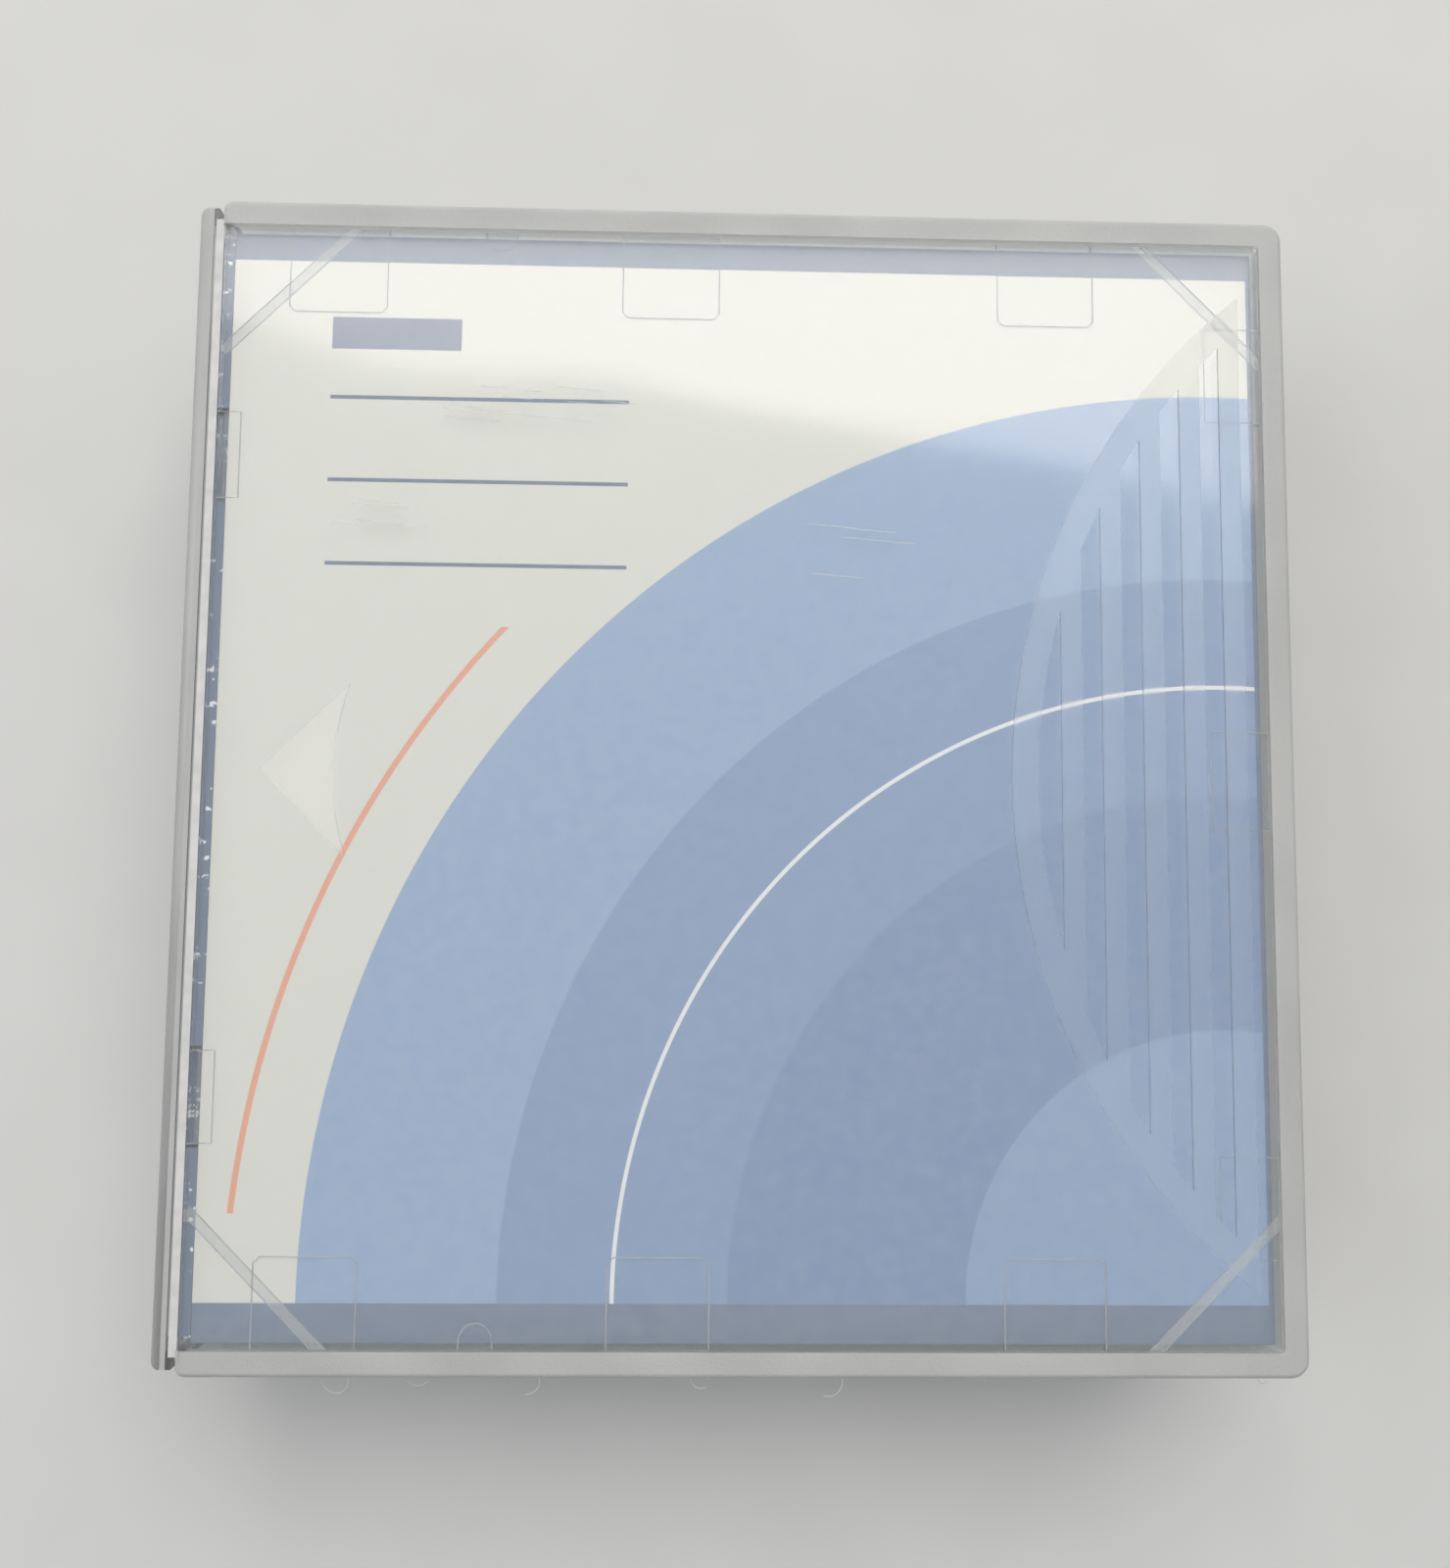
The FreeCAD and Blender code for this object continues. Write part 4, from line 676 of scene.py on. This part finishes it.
tone = blend_colour(tree, rings.outputs["Fac"], (0.020, 0.017, 0.016, 1),
                    (0.050, 0.043, 0.040, 1))
ringed = node(tree, "ShaderNodeBump", {"Height": rings.outputs["Fac"], "Strength": 0.3,
                                       "Distance": 0.00004})
rough = maths(tree, "MULTIPLY_ADD", rings.outputs["Fac"], 0.15, 0.22)
finish_material(tree, output, node(tree, "ShaderNodeBsdfPrincipled",
                                   {"Base Color": tone, "Roughness": rough,
                                    "Normal": ringed.outputs[0]}))
dress(tape_coat, "tape_pack", "leader_tape")

# ------------------------------------------------------------------ steel pieces
# Springs, clips, screws and the clutch plate that the drive's magnet pulls: bright
# stainless steel, drawn or rolled, with fine marks along one direction.
steel, tree, output, place = new_material("bright_steel")
drawn = node(tree, "ShaderNodeVectorMath", {0: place, 1: (1.0, 9.0, 9.0)}, operation="MULTIPLY")
marks = node(tree, "ShaderNodeTexNoise", {"Vector": drawn.outputs[0], "Scale": 700.0,
                                          "Detail": 3.0})
tone = blend_colour(tree, marks.outputs["Fac"], (0.52, 0.52, 0.51, 1), (0.66, 0.66, 0.65, 1))
rough = maths(tree, "MULTIPLY_ADD", marks.outputs["Fac"], 0.22, 0.20)
finish_material(tree, output, node(tree, "ShaderNodeBsdfPrincipled",
                                   {"Base Color": tone, "Roughness": rough, "Metallic": 1.0}))
dress(steel, "clutch_plate", "door_spring", "brake_spring", "leader_pin", "lower_pin_clip",
      "upper_pin_clip", "shell_screws")

# ------------------------------------------------------------------ coil springs
# Compression springs of round wire: a long thin one that shuts the door, and a short wide
# one that presses the brake button down.  Each is wound open so that it can close up.


def coil_tree():
    """Winds round wire into a coil that stands along Z."""
    group = bpy.data.node_groups.new("wound_coil", "GeometryNodeTree")
    group.interface.new_socket("Geometry", in_out="OUTPUT", socket_type="NodeSocketGeometry")
    for name, kind in (("Radius", "NodeSocketFloat"), ("Length", "NodeSocketFloat"),
                       ("Turns", "NodeSocketFloat"), ("Wire", "NodeSocketFloat"),
                       ("Steel", "NodeSocketMaterial")):
        group.interface.new_socket(name, in_out="INPUT", socket_type=kind)
    given = group.nodes.new("NodeGroupInput").outputs
    coil = node(group, "GeometryNodeCurveSpiral",
                {"Resolution": 20, "Rotations": given["Turns"], "Start Radius": given["Radius"],
                 "End Radius": given["Radius"], "Height": given["Length"]})
    section = node(group, "GeometryNodeCurvePrimitiveCircle", {"Resolution": 8,
                                                               "Radius": given["Wire"]})
    wire = node(group, "GeometryNodeCurveToMesh", {"Curve": coil.outputs[0],
                                                   "Profile Curve": section.outputs[0],
                                                   "Fill Caps": True})
    real = node(group, "GeometryNodeRealizeInstances", {"Geometry": wire.outputs[0]})
    bright = node(group, "GeometryNodeSetMaterial", {"Geometry": real.outputs[0],
                                                     "Material": given["Steel"]})
    group.links.new(bright.outputs[0], node(group, "NodeGroupOutput").inputs[0])
    return group


wound_coil = coil_tree()


def coil_spring(name, source, radius, wire, turns, turn_to_axis):
    """A spring that stands for its CAD node, wound evenly over its length."""
    low, high = (Vector(corner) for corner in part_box(source))
    along = Vector((1, 0, 0)) if turn_to_axis else Vector((0, 0, 1))
    room = (high - low).dot(along)
    blank = bpy.data.objects.new(name + "_blank", bpy.data.meshes.new(name + "_blank"))
    bpy.context.scene.collection.objects.link(blank)
    winder = blank.modifiers.new("coil", "NODES")
    winder.node_group = wound_coil
    asked = {"Radius": radius, "Length": room - wire, "Turns": turns, "Wire": wire / 2,
             "Steel": steel}
    for socket in wound_coil.interface.items_tree:
        if socket.in_out == "INPUT":
            winder[socket.identifier] = asked[socket.name]
    made = bpy.data.meshes.new_from_object(
        blank.evaluated_get(bpy.context.evaluated_depsgraph_get()))
    bpy.data.objects.remove(blank)
    middle = (low + high) / 2
    foot = middle - along * (room - wire) / 2
    made.transform(Matrix.Translation(foot) @ Matrix.Rotation(turn_to_axis, 4, "Y"))
    spring = bpy.data.objects.new(name, made)
    bpy.context.scene.collection.objects.link(spring)
    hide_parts(source)
    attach(spring, "base")
    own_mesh(spring)


coil_spring("door_coil", "door_spring", 0.00075, 0.00025, 44, math.pi / 2)
coil_spring("brake_coil", "brake_spring", 0.0082, 0.0009, 4.5, 0)

# ------------------------------------------------------------------ slider and chip
# The write-protect slider is smooth red acetal so that it can be seen in its window; the
# memory chip is a black moulded block with a matt face.
for name, nodes_named, dark, pale, roughest in (
        ("red_acetal", ("write_protect_slider",), (0.42, 0.045, 0.03, 1), (0.50, 0.065, 0.04, 1),
         0.38),
        ("chip_moulding", ("memory_chip",), (0.02, 0.02, 0.021, 1), (0.035, 0.035, 0.036, 1),
         0.65)):
    finish, tree, output, place = new_material(name)
    flow = node(tree, "ShaderNodeTexNoise", {"Vector": place, "Scale": 400.0, "Detail": 3.0})
    tone = blend_colour(tree, flow.outputs["Fac"], dark, pale)
    rough = maths(tree, "MULTIPLY_ADD", flow.outputs["Fac"], 0.12, roughest - 0.06)
    finish_material(tree, output, node(tree, "ShaderNodeBsdfPrincipled",
                                       {"Base Color": tone, "Roughness": rough}))
    dress(finish, *nodes_named)
